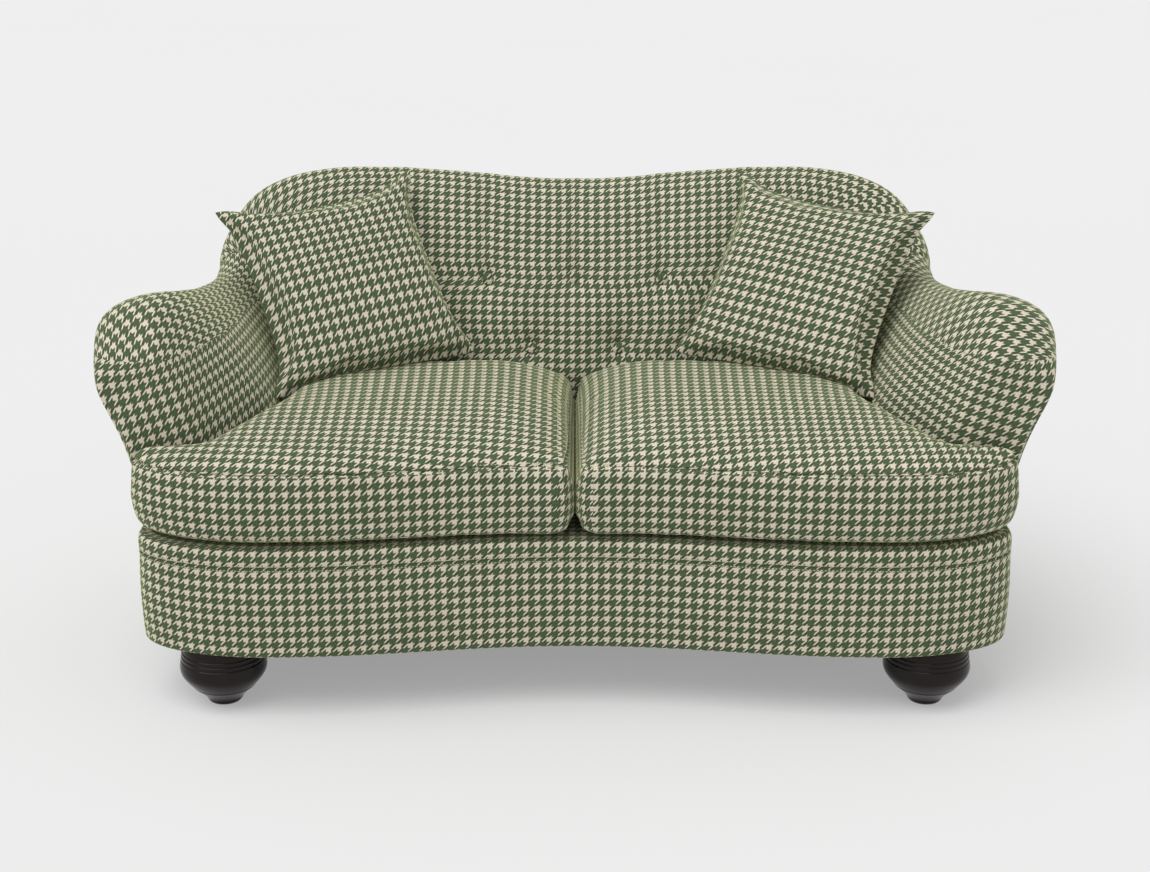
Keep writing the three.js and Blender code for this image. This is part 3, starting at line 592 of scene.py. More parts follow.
def soften(piece: bpy.types.Object, group: str, rounds: int) -> None:
    """Adds smoothing of a point group, or of all points.

    Args:
        piece: The piece.
        group: Name of the group, or nothing for all points.
        rounds: How often each point is averaged with its neighbours.
    """
    smooth = piece.modifiers.new("soften", "SMOOTH")
    smooth.vertex_group = group
    smooth.factor = 0.5
    smooth.iterations = rounds


def baked(piece: bpy.types.Object) -> bpy.types.Mesh:
    """Applies a piece's modifiers.

    Args:
        piece: The piece.

    Returns:
        Its new mesh.
    """
    graph = bpy.context.evaluated_depsgraph_get()
    mesh = bpy.data.meshes.new_from_object(piece.evaluated_get(graph))
    piece.modifiers.clear()
    old = piece.data
    piece.data = mesh
    bpy.data.meshes.remove(old)
    return mesh


def make_active(piece: bpy.types.Object) -> None:
    """Selects one object alone."""
    for other in bpy.context.selected_objects:
        other.select_set(False)
    piece.select_set(True)
    bpy.context.view_layer.objects.active = piece


# Guide lines


class GuideCurve:
    """Smooth centripetal curve through points, read by a share from 0 to 1."""

    def __init__(self, points: list[Vector]) -> None:
        """Keeps the points, with one more beyond each end."""
        first = points[0] * 2 - points[1]
        last = points[-1] * 2 - points[-2]
        self.points = [first, *points, last]
        self.spans = len(points) - 1

    def at(self, share: float) -> Vector:
        """Point of the curve.

        Args:
            share: Share of its spans, from 0 to 1.

        Returns:
            The point.
        """
        place = min(max(share, 0.0), 1.0) * self.spans
        i = min(int(place), self.spans - 1)
        t = place - i
        p0, p1, p2, p3 = self.points[i:i + 4]
        d0, d1, d2 = ((b - a).length_squared ** 0.25 for a, b in ((p0, p1), (p1, p2), (p2, p3)))
        m1 = ((p1 - p0) / d0 - (p2 - p0) / (d0 + d1) + (p2 - p1) / d1) * d1
        m2 = ((p2 - p1) / d1 - (p3 - p1) / (d1 + d2) + (p3 - p2) / d2) * d1
        square, cube = t * t, t * t * t
        return (
            p1 * (2 * cube - 3 * square + 1) + m1 * (cube - 2 * square + t)
            + p2 * (3 * square - 2 * cube) + m2 * (cube - square)
        )


def bezier(a: Vector, b: Vector, c: Vector, d: Vector, t: float) -> Vector:
    """Point of a cubic curve at share t."""
    s = 1 - t
    return a * s ** 3 + b * (3 * s * s * t) + c * (3 * s * t * t) + d * t ** 3


@dataclass
class Guides:
    """Guide points of the upholstery at one station."""

    seat: Vector
    crest: Vector
    widest: Vector
    outer: Vector
    out: Vector


ARM_SEAT = (
    (1.277, -0.724), (1.245, -0.712), (1.195, -0.63), (1.117, -0.483), (1.055, -0.337),
    (1.018, -0.135), (1.004, 0.045), (0.982, 0.2), (0.922, 0.255), (0.872, 0.279),
)
BACK_SEAT = ((0.812, 0.294), (0.73, 0.303), (0.602, 0.31), (0.41, 0.315), (0.204, 0.317), (0, 0.317))
ARM_CREST = (
    (0.862, -0.724, -1.0, 0.085), (0.867, -0.702, -0.6, 0.118), (0.873, -0.6, -0.26, 0.126),
    (0.879, -0.46, -0.04, 0.122), (0.868, -0.32, -0.02, 0.118), (0.835, -0.13, -0.15, 0.103),
    (0.8, 0.12, -0.3, 0.085), (0.776, 0.36, -0.27, 0.07), (0.782, 0.59, 0.17, 0.062),
    (0.74, 0.735, 0.64, 0.06),
)
BACK_CREST = (
    (0.672, 0.798, 0.87, 0.06), (0.565, 0.825, 1, 0.06), (0.442, 0.843, 1, 0.06),
    (0.282, 0.856, 1, 0.06), (0.136, 0.863, 1, 0.06), (0, 0.865, 1, 0.06),
)


@dataclass
class SetteePlan:
    """Guide lines of the whole settee, in metres, front towards -Y."""

    half_span: float = 0.882
    half_depth: float = 0.445
    hump_height: float = 0.863
    centre_dip: float = 0.027
    dip_reach: float = 0.46
    arm_height: float = 0.732
    half_base: float = 0.805
    front_hollow: float = 0.05
    hollow_half_width: float = 0.56
    front_corner_depth: float = 0.11
    side_taper: float = 0.016
    rear_corner_width: float = 0.23
    rear_corner_depth: float = 0.15
    back_bow: float = 0.022
    back_rake: float = 0.014
    seat_half_width: float = 0.548
    seat_back: float = 0.141
    shell_bottom: float = 0.3323
    well_height: float = 0.15
    roll_drop: float = 0.052
    back_roll_drop: float = 0.062
    drop_blend: float = 2.0
    drop_limit: float = 0.4
    outside_setback: float = 0.005
    corner_station: float = 7.5
    full_station: float = 3.0
    well_share: float = 0.55
    inside_lean: tuple = (0.12, 0.32)
    inside_crest: tuple = (0.36, 0.08)
    roll_out: float = 0.55
    roll_up: float = 0.62
    under_front: float = 0.105
    under_gain: float = 0.1
    skirt_share: float = 0.62
    join_depth: float = 0.006
    join_reach: float = 0.12
    row_shift: float = 0.0086
    rim_count: int = 640
    _known: dict = field(default_factory=dict)

    def __post_init__(self) -> None:
        """Builds the curves from the share tables."""
        self.front = -self.half_depth
        self.back = self.half_depth - self.back_rake
        seats = [self._seat_point(row) for row in self._both_sides(ARM_SEAT + BACK_SEAT)]
        rows = self._both_sides(ARM_CREST + BACK_CREST)
        self.seat_curve = GuideCurve(seats)
        self.crest_curve = GuideCurve([self._crest_point(row) for row in rows])
        rolls = [Vector((i / 100, row[3] * self.half_span, 0)) for i, row in enumerate(rows)]
        self.roll_curve = GuideCurve(rolls)
        self.stations = len(rows) - 1
        self.rim = self._even_rim()
        self.wall = self._inset(self.rim, self.outside_setback)

    @staticmethod
    def _both_sides(rows: tuple) -> list[tuple]:
        """Rows of a share table followed by the same rows on the left side."""
        return [*rows, *((-row[0], *row[1:]) for row in reversed(rows[:-1]))]

    def _seat_point(self, row: tuple) -> Vector:
        """Seat line point of one table row."""
        across, along = row
        reach = self.half_depth if along < 0 else self.seat_back / BACK_SEAT[-1][1]
        return Vector((across * self.seat_half_width, along * reach, self.shell_bottom))

    def _crest_point(self, row: tuple) -> Vector:
        """Crest point of one table row, with the dip at the middle of the back."""
        x = row[0] * self.half_span
        share = min(abs(x) / (self.half_span * self.dip_reach), 1)
        dip = self.centre_dip * (1 + math.cos(math.pi * share)) / 2 if row[2] >= 1 else 0.0
        z = self.arm_height + row[2] * (self.hump_height - self.arm_height) - dip
        return Vector((x, row[1] * self.half_depth, z))

    def front_line(self, x: float) -> float:
        """Y of the hollow front at an X."""
        share = min(abs(x), self.hollow_half_width) / self.hollow_half_width
        return self.front + self.front_hollow * (1 + math.cos(math.pi * share)) / 2

    def _half_rim(self, steps: int = 48) -> list[Vector]:
        """Right half of the base outline, from the middle front to the middle back."""
        shares = [i / steps for i in range(steps + 1)]
        hollow = [self.hollow_half_width * s for s in shares]
        points = [Vector((x, self.front_line(x))) for x in hollow]
        wide = self.half_base - self.hollow_half_width
        for s in shares[1:]:
            a = math.pi / 2 * s
            x = self.hollow_half_width + wide * math.sin(a)
            points.append(Vector((x, self.front + self.front_corner_depth * (1 - math.cos(a)))))
        start = self.front + self.front_corner_depth
        end = self.back - self.back_bow - self.rear_corner_depth
        for s in shares[1:]:
            points.append(Vector((self.half_base - self.side_taper * s, start + (end - start) * s)))
        rear = self.half_base - self.side_taper
        for s in shares[1:]:
            a = math.pi / 2 * s
            x = rear - self.rear_corner_width * (1 - math.cos(a))
            points.append(Vector((x, end + self.rear_corner_depth * math.sin(a))))
        reach = rear - self.rear_corner_width
        for s in shares[1:]:
            x = reach * (1 - s)
            points.append(Vector((x, self.back - self.back_bow * (x / reach) ** 2)))
        return points

    def _even_rim(self) -> list[Vector]:
        """Whole base outline with points evenly spaced, from the middle of the back."""
        half = self._half_rim()
        left = [Vector((-p.x, p.y)) for p in half]
        loop = [*left[::-1], *half[1:]]
        lengths = [0.0]
        for a, b in zip(loop, loop[1:]):
            lengths.append(lengths[-1] + (b - a).length)
        self.rim_length = lengths[-1]
        points, k = [], 0
        for i in range(self.rim_count):
            want = self.rim_length * i / self.rim_count
            while lengths[k + 1] < want:
                k += 1
            share = (want - lengths[k]) / (lengths[k + 1] - lengths[k])
            points.append(loop[k].lerp(loop[k + 1], share))
        return points

    @staticmethod
    def _inset(loop: list[Vector], distance: float) -> list[Vector]:
        """Moves each point of a closed outline inwards."""
        n = len(loop)
        moved = []
        for i, p in enumerate(loop):
            along = (loop[(i + 1) % n] - loop[i - 1]).normalized()
            moved.append(Vector((p.x - along.y * distance, p.y + along.x * distance)))
        return moved

    def rim_at(self, share: float) -> tuple[Vector, Vector]:
        """Place on the base outline.

        Args:
            share: Share of the way round, from the middle of the back.

        Returns:
            The point and the direction outwards there.
        """
        place = (share % 1.0) * self.rim_count
        i = int(place) % self.rim_count
        a, b = self.rim[i], self.rim[(i + 1) % self.rim_count]
        point = a.lerp(b, place - int(place))
        along = (self.rim[(i + 2) % self.rim_count] - self.rim[i - 1]).normalized()
        return point, Vector((along.y, -along.x))

    def _ray(self, start: Vector, out: Vector) -> Vector:
        """Where a level ray leaves the outline of the shell's outside.

        Args:
            start: Where it starts.
            out: Its direction.

        Returns:
            The point at the shell's lower edge.
        """
        best = None
        loop = self.wall
        for i, a in enumerate(loop):
            b = loop[(i + 1) % len(loop)]
            ex, ey = b.x - a.x, b.y - a.y
            det = out.x * -ey + out.y * ex
            if det == 0:
                continue
            ax, ay = a.x - start.x, a.y - start.y
            far = (ax * -ey + ay * ex) / det
            along = (out.x * ay - out.y * ax) / det
            if far > 0 and 0 <= along <= 1 and (best is None or far < best):
                best = far
        return Vector((start.x + out.x * best, start.y + out.y * best, self.shell_bottom))

    def guides(self, station: float) -> Guides:
        """Guide points at a station, kept once worked out.

        Args:
            station: From 0 at the right arm front round to the left arm front.

        Returns:
            The guide points.
        """
        key = round(station, 5)
        if key not in self._known:
            share = station / self.stations
            seat, crest = self.seat_curve.at(share), self.crest_curve.at(share)
            out = Vector((crest.x - seat.x, crest.y - seat.y, 0)).normalized()
            from_front = min(station, self.stations - station)
            arm = min(max((self.corner_station - from_front) / self.drop_blend, 0), 1)
            drop = self.back_roll_drop + (self.roll_drop - self.back_roll_drop) * arm
            widest = crest + out * self.roll_curve.at(share).y
            widest.z -= min(drop, (crest.z - self.shell_bottom) * self.drop_limit)
            self._known[key] = Guides(seat, crest, widest, self._ray(seat, out), out)
        return self._known[key]

    def skin(self, station: float, turn: float) -> Vector:
        """Point of the upholstered shell.

        Args:
            station: Station along the shell.
            turn: 0 to 1 up the seat side of the well, 1 to 2 on to the crest, 2 to 3
                over the roll and 3 to 4 down the outside.

        Returns:
            The point, before the row's shift.
        """
        g = self.guides(station)
        low = self.shell_bottom
        top = min(low + self.well_height, g.seat.z + self.well_share * (g.crest.z - g.seat.z))
        well = Vector((g.seat.x, g.seat.y, top))
        if turn < 1:
            return Vector((g.seat.x, g.seat.y, low + (top - low) * turn))
        rise = g.crest.z - top
        reach = math.hypot(g.crest.x - g.seat.x, g.crest.y - g.seat.y)
        if turn < 2:
            (lean_out, lean_up), (crest_out, crest_up) = self.inside_lean, self.inside_crest
            lean = well + g.out * reach * lean_out + UP * rise * lean_up
            over = g.crest - g.out * reach * crest_out - UP * rise * crest_up
            return bezier(well, lean, over, g.crest, turn - 1)
        if turn < 3:
            roll = math.hypot(g.widest.x - g.crest.x, g.widest.y - g.crest.y)
            start = g.crest + g.out * roll * self.roll_out
            end = g.widest + UP * (g.crest.z - g.widest.z) * self.roll_up
            return bezier(g.crest, start, end, g.widest, turn - 2)
        from_front = min(station, self.stations - station)
        drop = self.under_front + self.under_gain * min(from_front / self.full_station, 1)
        under = g.widest - UP * (g.widest.z - low) * drop
        skirt = Vector((g.outer.x, g.outer.y, low + (g.widest.z - low) * self.skirt_share))
        return bezier(g.widest, under, skirt, g.outer, min(turn - 3, 1.0))

    def join_pinch(self, station: float) -> float:
        """Depth that the seam between arm and back draws the cover in at a station."""
        past = min(station, self.stations - station) - self.corner_station
        return self.join_depth * math.exp(-((past / self.join_reach) ** 2))

    def placed(self, point: Vector) -> Vector:
        """Point moved into the row's frame."""
        return Vector((point.x, point.y + self.row_shift, point.z))


# Upholstered back


@dataclass
class TuftedBack:
    """Inside and outside of the back, with its buttons and tucks."""

    plan: SetteePlan
    columns: int = 176
    inside_rows: int = 68
    outside_rows: int = 40
    thickness: float = 0.004
    button_spacing: float = 0.179
    upper_height: float = 0.662
    lower_height: float = 0.531
    tuft_depth: float = 0.013
    tuft_reach: float = 0.044
    pinch_depth: float = 0.017
    pinch_reach: float = 0.012
    tuck_depth: float = 0.006
    tuck_reach: float = 0.024
    crease_depth: float = 0.007
    crease_reach: float = 0.0055
    crease_start: float = 0.03
    crest_over: float = 0.004
    crest_fade: float = 0.02
    crest_least: float = 0.25
    first_sink: float = 0.4
    button_radius: float = 0.0125
    button_flatness: float = 0.42
    button_tilt: float = 0.32
    button_stations: float = 7
    seam_turn: float = 3.13
    last_sink: float = 2.6
    sink_fade: float = 0.5
    squeeze: float = 0.9

    def buttons(self) -> list[tuple[float, float]]:
        """X and height of each button, upper row first."""
        upper = [(i * self.button_spacing, self.upper_height) for i in (-2, -1, 0, 1, 2)]
        lower = [(i * self.button_spacing, self.lower_height) for i in (-1.5, -0.5, 0.5, 1.5)]
        return upper + lower

    def _sink(self, point: Vector, crest: float) -> float:
        """Depth that the buttons and tucks draw the cover in.

        Args:
            point: Point of the cover.
            crest: Height of the crest above it.

        Returns:
            The depth.
        """
        depth = 0.0
        for x, z in self.buttons():
            away = math.hypot(point.x - x, point.z - z)
            soft = self.tuft_depth * math.exp(-((away / self.tuft_reach) ** 2))
            pinch = self.pinch_depth * math.exp(-((away / self.pinch_reach) ** 2))
            depth = max(depth, soft + pinch)
        for x, z in self.buttons():
            if z < self.upper_height or point.z < z:
                continue
            below = (crest + self.crest_over - point.z) / self.crest_fade
            fade = min((point.z - z) / self.crease_start, 1.0) * min(max(below, self.crest_least), 1.0)
            side = abs(point.x - x)
            tuck = self.tuck_depth * math.exp(-((side / self.tuck_reach) ** 2))
            crease = self.crease_depth * math.exp(-((side / self.crease_reach) ** 2)) * fade
            depth = max(depth, tuck) + crease
        return depth

    def _surface(self, station: float, turn: float) -> Vector:
        """Tufted point of the back."""
        plan = self.plan
        point = plan.skin(station, turn)
        g = plan.guides(station)
        if self.first_sink < turn < self.last_sink:
            fade = min((self.last_sink - turn) / self.sink_fade, 1.0)
            point = point + g.out * self._sink(point, g.crest.z) * fade * fade * (3 - 2 * fade)
        inwards = g.out if turn < 2 else -g.out
        return plan.placed(point + inwards * plan.join_pinch(station))

    def build(self, cloth: bpy.types.Material) -> None:
        """Builds the inside and outside covers and the buttons.

        Args:
            cloth: Finish of the covers.
        """
        plan = self.plan
        first, last = plan.stations - plan.corner_station, plan.corner_station

        def inside(s: float, t: float) -> Vector:
            """Cover from the seat well over the crest to the outside seam."""
            return self._surface(first + (last - first) * s, self.seam_turn * t)

        def outside(s: float, t: float) -> Vector:
            """Panel below the outside seam."""
            turn = self.seam_turn + (4 - self.seam_turn) * t
            return self._surface(first + (last - first) * s, turn)

        lengths = self._path_lengths()
        across: dict[tuple, list[float]] = {}

        def reach(place: Place, s: float, t: float) -> float:
            """Length along the cover from the middle of the back at one height."""
            key = (place, round(t, 6))
            if key not in across:
                line = [place(i / self.columns, t) for i in range(self.columns + 1)]
                run = [0.0]
                for a, b in zip(line, line[1:]):
                    run.append(run[-1] + math.hypot(b.x - a.x, b.y - a.y))
                across[key] = run
            run = across[key]
            return self._at(run, s) - self._at(run, 0.5)

        def lay_inside(s: float, t: float, point: Vector) -> tuple[float, float]:
            """Straight grain: columns follow the cover and rows follow the height."""
            return reach(inside, s, t), self._at(lengths, t * self.seam_turn / 4) / self.squeeze

        def lay_outside(s: float, t: float, point: Vector) -> tuple[float, float]:
            """Straight grain on the outside."""
            return -reach(outside, s, t), point.z

        bm = grid_sheet(self.columns, self.inside_rows, inside, lay_inside)
        cover = piece_from("back_cover", bm, cloth)
        thicken(cover, self.thickness)
        refine(cover)
        seat_on(cover, "settee", Slot.COVER, "inside_back")
        bm = grid_sheet(self.columns, self.outside_rows, outside, lay_outside)
        panel = piece_from("outside_back_cover", bm, cloth)
        thicken(panel, self.thickness)
        refine(panel)
        seat_on(panel, "settee", Slot.COVER, "outside_back")
        for i, (x, z) in enumerate(self.buttons()):
            self._button(i + 1, x, z, cloth)

    def _path_lengths(self) -> list[float]:
        """Length up the middle of the back for even steps of turn from 0 to 4."""
        steps = 240
        points = [self.plan.skin(self.plan.stations / 2, 4 * i / steps) for i in range(steps + 1)]
        lengths = [0.0]
        for a, b in zip(points, points[1:]):
            lengths.append(lengths[-1] + (b - a).length)
        return lengths

    @staticmethod
    def _at(table: list[float], share: float) -> float:
        """Value of an even table at a share."""
        place = min(max(share, 0.0), 1.0) * (len(table) - 1)
        i = min(int(place), len(table) - 2)
        return table[i] + (table[i + 1] - table[i]) * (place - i)

    def _button(self, number: int, x: float, z: float, cloth: bpy.types.Material) -> None:
        """Builds one covered button at the bottom of its dimple.

        Args:
            number: Number of the button, as in its node's name.
            x: Its X.
            z: Its height.
            cloth: Finish.
        """
        low, high = (Vector(c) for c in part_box(f"tuft_button_{number}"))
        centre = (low + high) / 2
        g = self.plan.guides(self.plan.stations / 2 - x * self.button_stations)
        bm = bmesh.new()
        bm.loops.layers.uv.new(CLOTH_MAP)
        bmesh.ops.create_uvsphere(bm, u_segments=24, v_segments=14, radius=self.button_radius)
        bmesh.ops.scale(bm, vec=Vector((1, 1, self.button_flatness)), verts=bm.verts)
        lean = Vector((-g.out.x, -g.out.y, self.button_tilt)).normalized()
        turn = UP.rotation_difference(lean).to_matrix()
        bmesh.ops.rotate(bm, cent=Vector(), matrix=turn, verts=bm.verts)
        bmesh.ops.translate(bm, vec=centre, verts=bm.verts)
        layer = bm.loops.layers.uv[CLOTH_MAP]
        for face in bm.faces:
            for loop in face.loops:
                loop[layer].uv = (loop.vert.co.x, loop.vert.co.z)
        button = piece_from(f"button_{number}", bm, cloth)
        seat_on(button, "settee", Slot.COVER, f"tuft_button_{number}")


# Arms


@dataclass
class RolledArm:
    """One arm: front face, padded inside, bias-cut cap over the roll, and outside panel."""

    plan: SetteePlan
    side: Side
    columns: int = 96
    cap_rings: int = 7
    rows: int = 116
    seam_height: float = 0.646
    thickness: float = 0.004
    cut_reach: float = 1e-5
    face_swell: float = 0.007
    body_turn: float = 16.0
    bias_turn: float = 45.0
    crowding: float = 1.15
    fan: float = 1.6

    def _shell(self, s: float, t: float) -> Vector:
        """Right arm: the front face fans out to the first station, then back to the last."""
        plan = self.plan
        split = self.cap_rings / (self.cap_rings + self.columns)
        turn = 4 * t
        if s >= split:
            along = (s - split) / (1 - split)
            station = plan.corner_station * along ** self.crowding
            point = plan.skin(station, turn)
            g = plan.guides(station)
            inwards = g.out if turn < 2 else -g.out
            return plan.placed(point + inwards * plan.join_pinch(station))
        grow = s / split
        g = plan.guides(0)
        middle = (g.seat + g.outer) / 2
        rim = plan.skin(0, turn)
        point = middle.lerp(rim, 1 - (1 - grow) ** self.fan)
        swell = self.face_swell * (1 - (2 * grow - 1) ** 2) if grow > 0.5 else self.face_swell
        return plan.placed(Vector((point.x, point.y - swell * min(1, (1 - grow) * 4), point.z)))

    def build(self, cloth: bpy.types.Material) -> None:
        """Builds the arm as one sewn cover and lays its cloth.

        Args:
            cloth: Finish.
        """
        total = self.columns + self.cap_rings
        right = self.side is Side.RIGHT
        bm = grid_sheet(total, self.rows, self._shell, lambda s, t, p: (s, t), flip=True)
        close_up(bm)
        if not right:
            bmesh.ops.scale(bm, vec=Vector((-1, 1, 1)), verts=bm.verts)
            bmesh.ops.reverse_faces(bm, faces=bm.faces)
        cut = Vector((0, 0, self.seam_height))
        bmesh.ops.bisect_plane(bm, geom=[*bm.verts, *bm.edges, *bm.faces], plane_co=cut,
                               plane_no=UP, dist=self.cut_reach)
        for edge in bm.edges:
            edge.seam = all(abs(v.co.z - self.seam_height) < self.cut_reach for v in edge.verts)
        arm = piece_from(f"{self.side.word}_arm_cover", bm, cloth)
        self._lay(arm)
        thicken(arm, self.thickness)
        refine(arm)
        nodes = (f"{self.side.word}_arm", f"{self.side.word}_outside_arm")
        seat_on(arm, "settee", Slot.COVER, *nodes)

    def _lay(self, arm: bpy.types.Object) -> None:
        """Unwraps the arm and turns each panel's cloth to its cut."""
        sign = self.side.value
        make_active(arm)
        bpy.ops.object.mode_set(mode="EDIT")
        bpy.ops.mesh.select_all(action="SELECT")
        bpy.ops.uv.unwrap(method="ANGLE_BASED", margin=0.001)
        bpy.ops.object.mode_set(mode="OBJECT")
        turned = math.radians(self.body_turn) * -sign
        bias = math.radians(self.bias_turn) * -sign
        front = self.plan.placed(Vector((sign * 0.78, -0.322, 0.5)))
        bulb = self.plan.placed(Vector((sign * 0.79, -0.28, 0.69)))
        lay_panels(arm, [(front, turned), (bulb, bias)])


def lay_panels(piece: bpy.types.Object, anchors: list[tuple[Vector, float]]) -> None:
    """Scales each unwrapped panel to real size and turns its cloth.

    Args:
        piece: Piece whose cloth map has just been unwrapped along its seams.
        anchors: For each panel, a point on it and the angle by which the cloth's rows
            rise there, seen from the front.
    """
    bm = bmesh.new()
    bm.from_mesh(piece.data)
    layer = bm.loops.layers.uv.active
    left = dict.fromkeys(bm.faces)
    while left:
        seed = next(iter(left))
        del left[seed]
        panel, queue = [seed], [seed]
        while queue:
            face = queue.pop()
            for edge in face.edges:
                if edge.seam:
                    continue
                for other in edge.link_faces:
                    if other in left:
                        del left[other]
                        panel.append(other)
                        queue.append(other)
        _lay_panel(panel, layer, anchors)
    bm.to_mesh(piece.data)
    bm.free()


def panel_scale(panel: list, layer: bmesh.types.BMLayerItem) -> float:
    """Factor from a panel's unwrapped size to its real size."""
    real = sum(face.calc_area() for face in panel)
    flat = 0.0
    for face in panel:
        uvs = [loop[layer].uv for loop in face.loops]
        flat += abs(sum(a.x * b.y - b.x * a.y for a, b in zip(uvs, uvs[1:] + uvs[:1]))) / 2
    return math.sqrt(real / max(flat, 1e-12))


def nearest_face(panel: list, anchor: Vector) -> bmesh.types.BMFace:
    """Face of a panel whose middle is nearest to a point."""
    return min(panel, key=lambda face: (face.calc_center_median() - anchor).length_squared)


def cloth_run(
    face: bmesh.types.BMFace, layer: bmesh.types.BMLayerItem, up: int
) -> tuple[float, bool]:
    """How unwrapped cloth lies on a face.

    Args:
        face: The face.
        layer: Cloth map.
        up: Number of the axis that the face spans besides X.

    Returns:
        Angle of the X axis in the map, and whether the map is mirrored there.
    """
    a, b, c = face.loops[0], face.loops[1], face.loops[2]
    e1, e2 = b.vert.co - a.vert.co, c.vert.co - a.vert.co
    f1, f2 = b[layer].uv - a[layer].uv, c[layer].uv - a[layer].uv
    det = e1.x * e2[up] - e2.x * e1[up]
    flow = f1 * (e2[up] / det) - f2 * (e1[up] / det)
    return math.atan2(flow.y, flow.x), (f1.x * f2.y - f2.x * f1.y) * det < 0


def _lay_panel(
    panel: list, layer: bmesh.types.BMLayerItem, anchors: list[tuple[Vector, float]]
) -> None:
    """Lays one panel by the anchor that is nearest to it.

    Args:
        panel: Its faces.
        layer: Cloth map.
        anchors: Points and angles, as for lay_panels.
    """
    scale = panel_scale(panel, layer)
    found = []
    for anchor, angle in anchors:
        face = nearest_face(panel, anchor)
        found.append(((face.calc_center_median() - anchor).length, face, angle))
    _, face, angle = min(found, key=lambda near: near[0])
    run, _ = cloth_run(face, layer, 2)
    turn = Matrix.Rotation(-run - angle, 2)
    origin = face.loops[0][layer].uv.copy()
    for face in panel:
        for loop in face.loops:
            loop[layer].uv = (turn @ (loop[layer].uv - origin)) * scale


# Base


@dataclass
class BaseCovers:
    """Borders round the base with the stitched lip, and the deck that the cushions lie on."""

    plan: SetteePlan
    columns: int = 336
    bottom: float = 0.118
    top: float = 0.332
    seam: float = 0.297
    roll: float = 0.013
    lip_round: float = 0.011
    seam_depth: float = 0.0035
    bulge: float = 0.003
    tuck_in: float = 0.045
    thickness: float = 0.004
    stitch_gap: float = 0.0092
    seam_half: float = 0.004
    deck_overlap: float = 0.006
    deck_drop: float = 0.0012
    deck_cells: tuple = (160, 12)

    def _profile(self) -> list[tuple[float, float]]:
        """Outward offset and height, from under the base up to the deck's edge."""
        points = [(-self.tuck_in, self.bottom + 0.0015), (-self.roll * 1.2, self.bottom + 0.0006)]
        for i in range(9):
            a = math.pi / 2 * i / 8
            out = -self.roll * (1 - math.sin(a))
            points.append((out, self.bottom + self.roll * (1 - math.cos(a)) * 0.9))
        low = points[-1][1]
        high = self.seam - self.seam_half
        for i in range(1, 13):
            s = i / 12
            points.append((self.bulge * math.sin(math.pi * s), low + (high - low) * s))
        points.append((-self.seam_depth * 0.5, self.seam - 0.0015))
        points.append((-self.seam_depth, self.seam))
        points.append((-self.seam_depth * 0.5, self.seam + 0.0015))
        points.append((0.0, self.seam + self.seam_half))
        points.append((0.0012, self.seam + 0.012))
        for i in range(8):
            a = math.pi / 2 * i / 7
            out = -self.lip_round * (1 - math.cos(a))
            points.append((out, self.top - self.lip_round * (1 - math.sin(a))))
        points.append((-self.tuck_in, self.top))
        return points

    def build(self, cloth: bpy.types.Material, thread: bpy.types.Material) -> None:
        """Builds the border ring as one piece in place of the four borders, the deck and the stitches.

        Args:
            cloth: Finish of the covers.
            thread: Finish of the stitches.
        """
        plan = self.plan
        profile = self._profile()
        lengths = [0.0]
        for (a, b), (c, d) in zip(profile, profile[1:]):
            lengths.append(lengths[-1] + math.hypot(c - a, d - b))
        rows = len(profile) - 1

        def place(s: float, t: float) -> Vector:
            """Point of the border ring."""
            out, z = profile[round(t * rows)]
            point, away = plan.rim_at(s)
            inner = point + away * out
            return plan.placed(Vector((inner.x, inner.y, z)))

        def lay(s: float, t: float, point: Vector) -> tuple[float, float]:
            """Straight grain round the base, centred on the front."""
            return (s - 0.5) * plan.rim_length, lengths[round(t * rows)]

        bm = grid_sheet(self.columns, rows, place, lay)
        close_up(bm)
        ring = piece_from("base_cover", bm, cloth)
        thicken(ring, self.thickness)
        refine(ring)
        borders = [f"{name}_border" for name in ("front", "back", "right_side", "left_side")]
        seat_on(ring, "settee", Slot.COVER, *borders)
        self._deck(cloth)
        lines = [self._line(self.seam + lift) for lift in (-self.stitch_gap / 2, self.stitch_gap / 2)]
        stitches = StitchRow().piece("lip_stitches", lines, thread)
        seat_on(stitches, "settee", Slot.COVER)

    def _line(self, height: float) -> list[Vector]:
        """Line of stitches round the base at a height."""
        plan = self.plan
        return [plan.placed(Vector((p.x, p.y, height))) for p in plan.rim[::2]]

    def _deck(self, cloth: bpy.types.Material) -> None:
        """Builds the flat deck inside the lip."""
        plan = self.plan
        reach = self.tuck_in - self.deck_overlap

        def place(s: float, t: float) -> Vector:
            """Point of the deck, from its rim to the middle."""
            point, away = plan.rim_at(s)
            rim = point - away * reach
            inner = rim.lerp(Vector((0, 0)), t)
            return plan.placed(Vector((inner.x, inner.y, self.top - self.deck_drop)))

        bm = grid_sheet(*self.deck_cells, place, lambda s, t, p: (p.x, p.y))
        close_up(bm, 1e-5)
        deck = piece_from("seat_deck", bm, cloth)
        thicken(deck, self.thickness)
        seat_on(deck, "settee", Slot.COVER, "seat_platform")


# Stitches


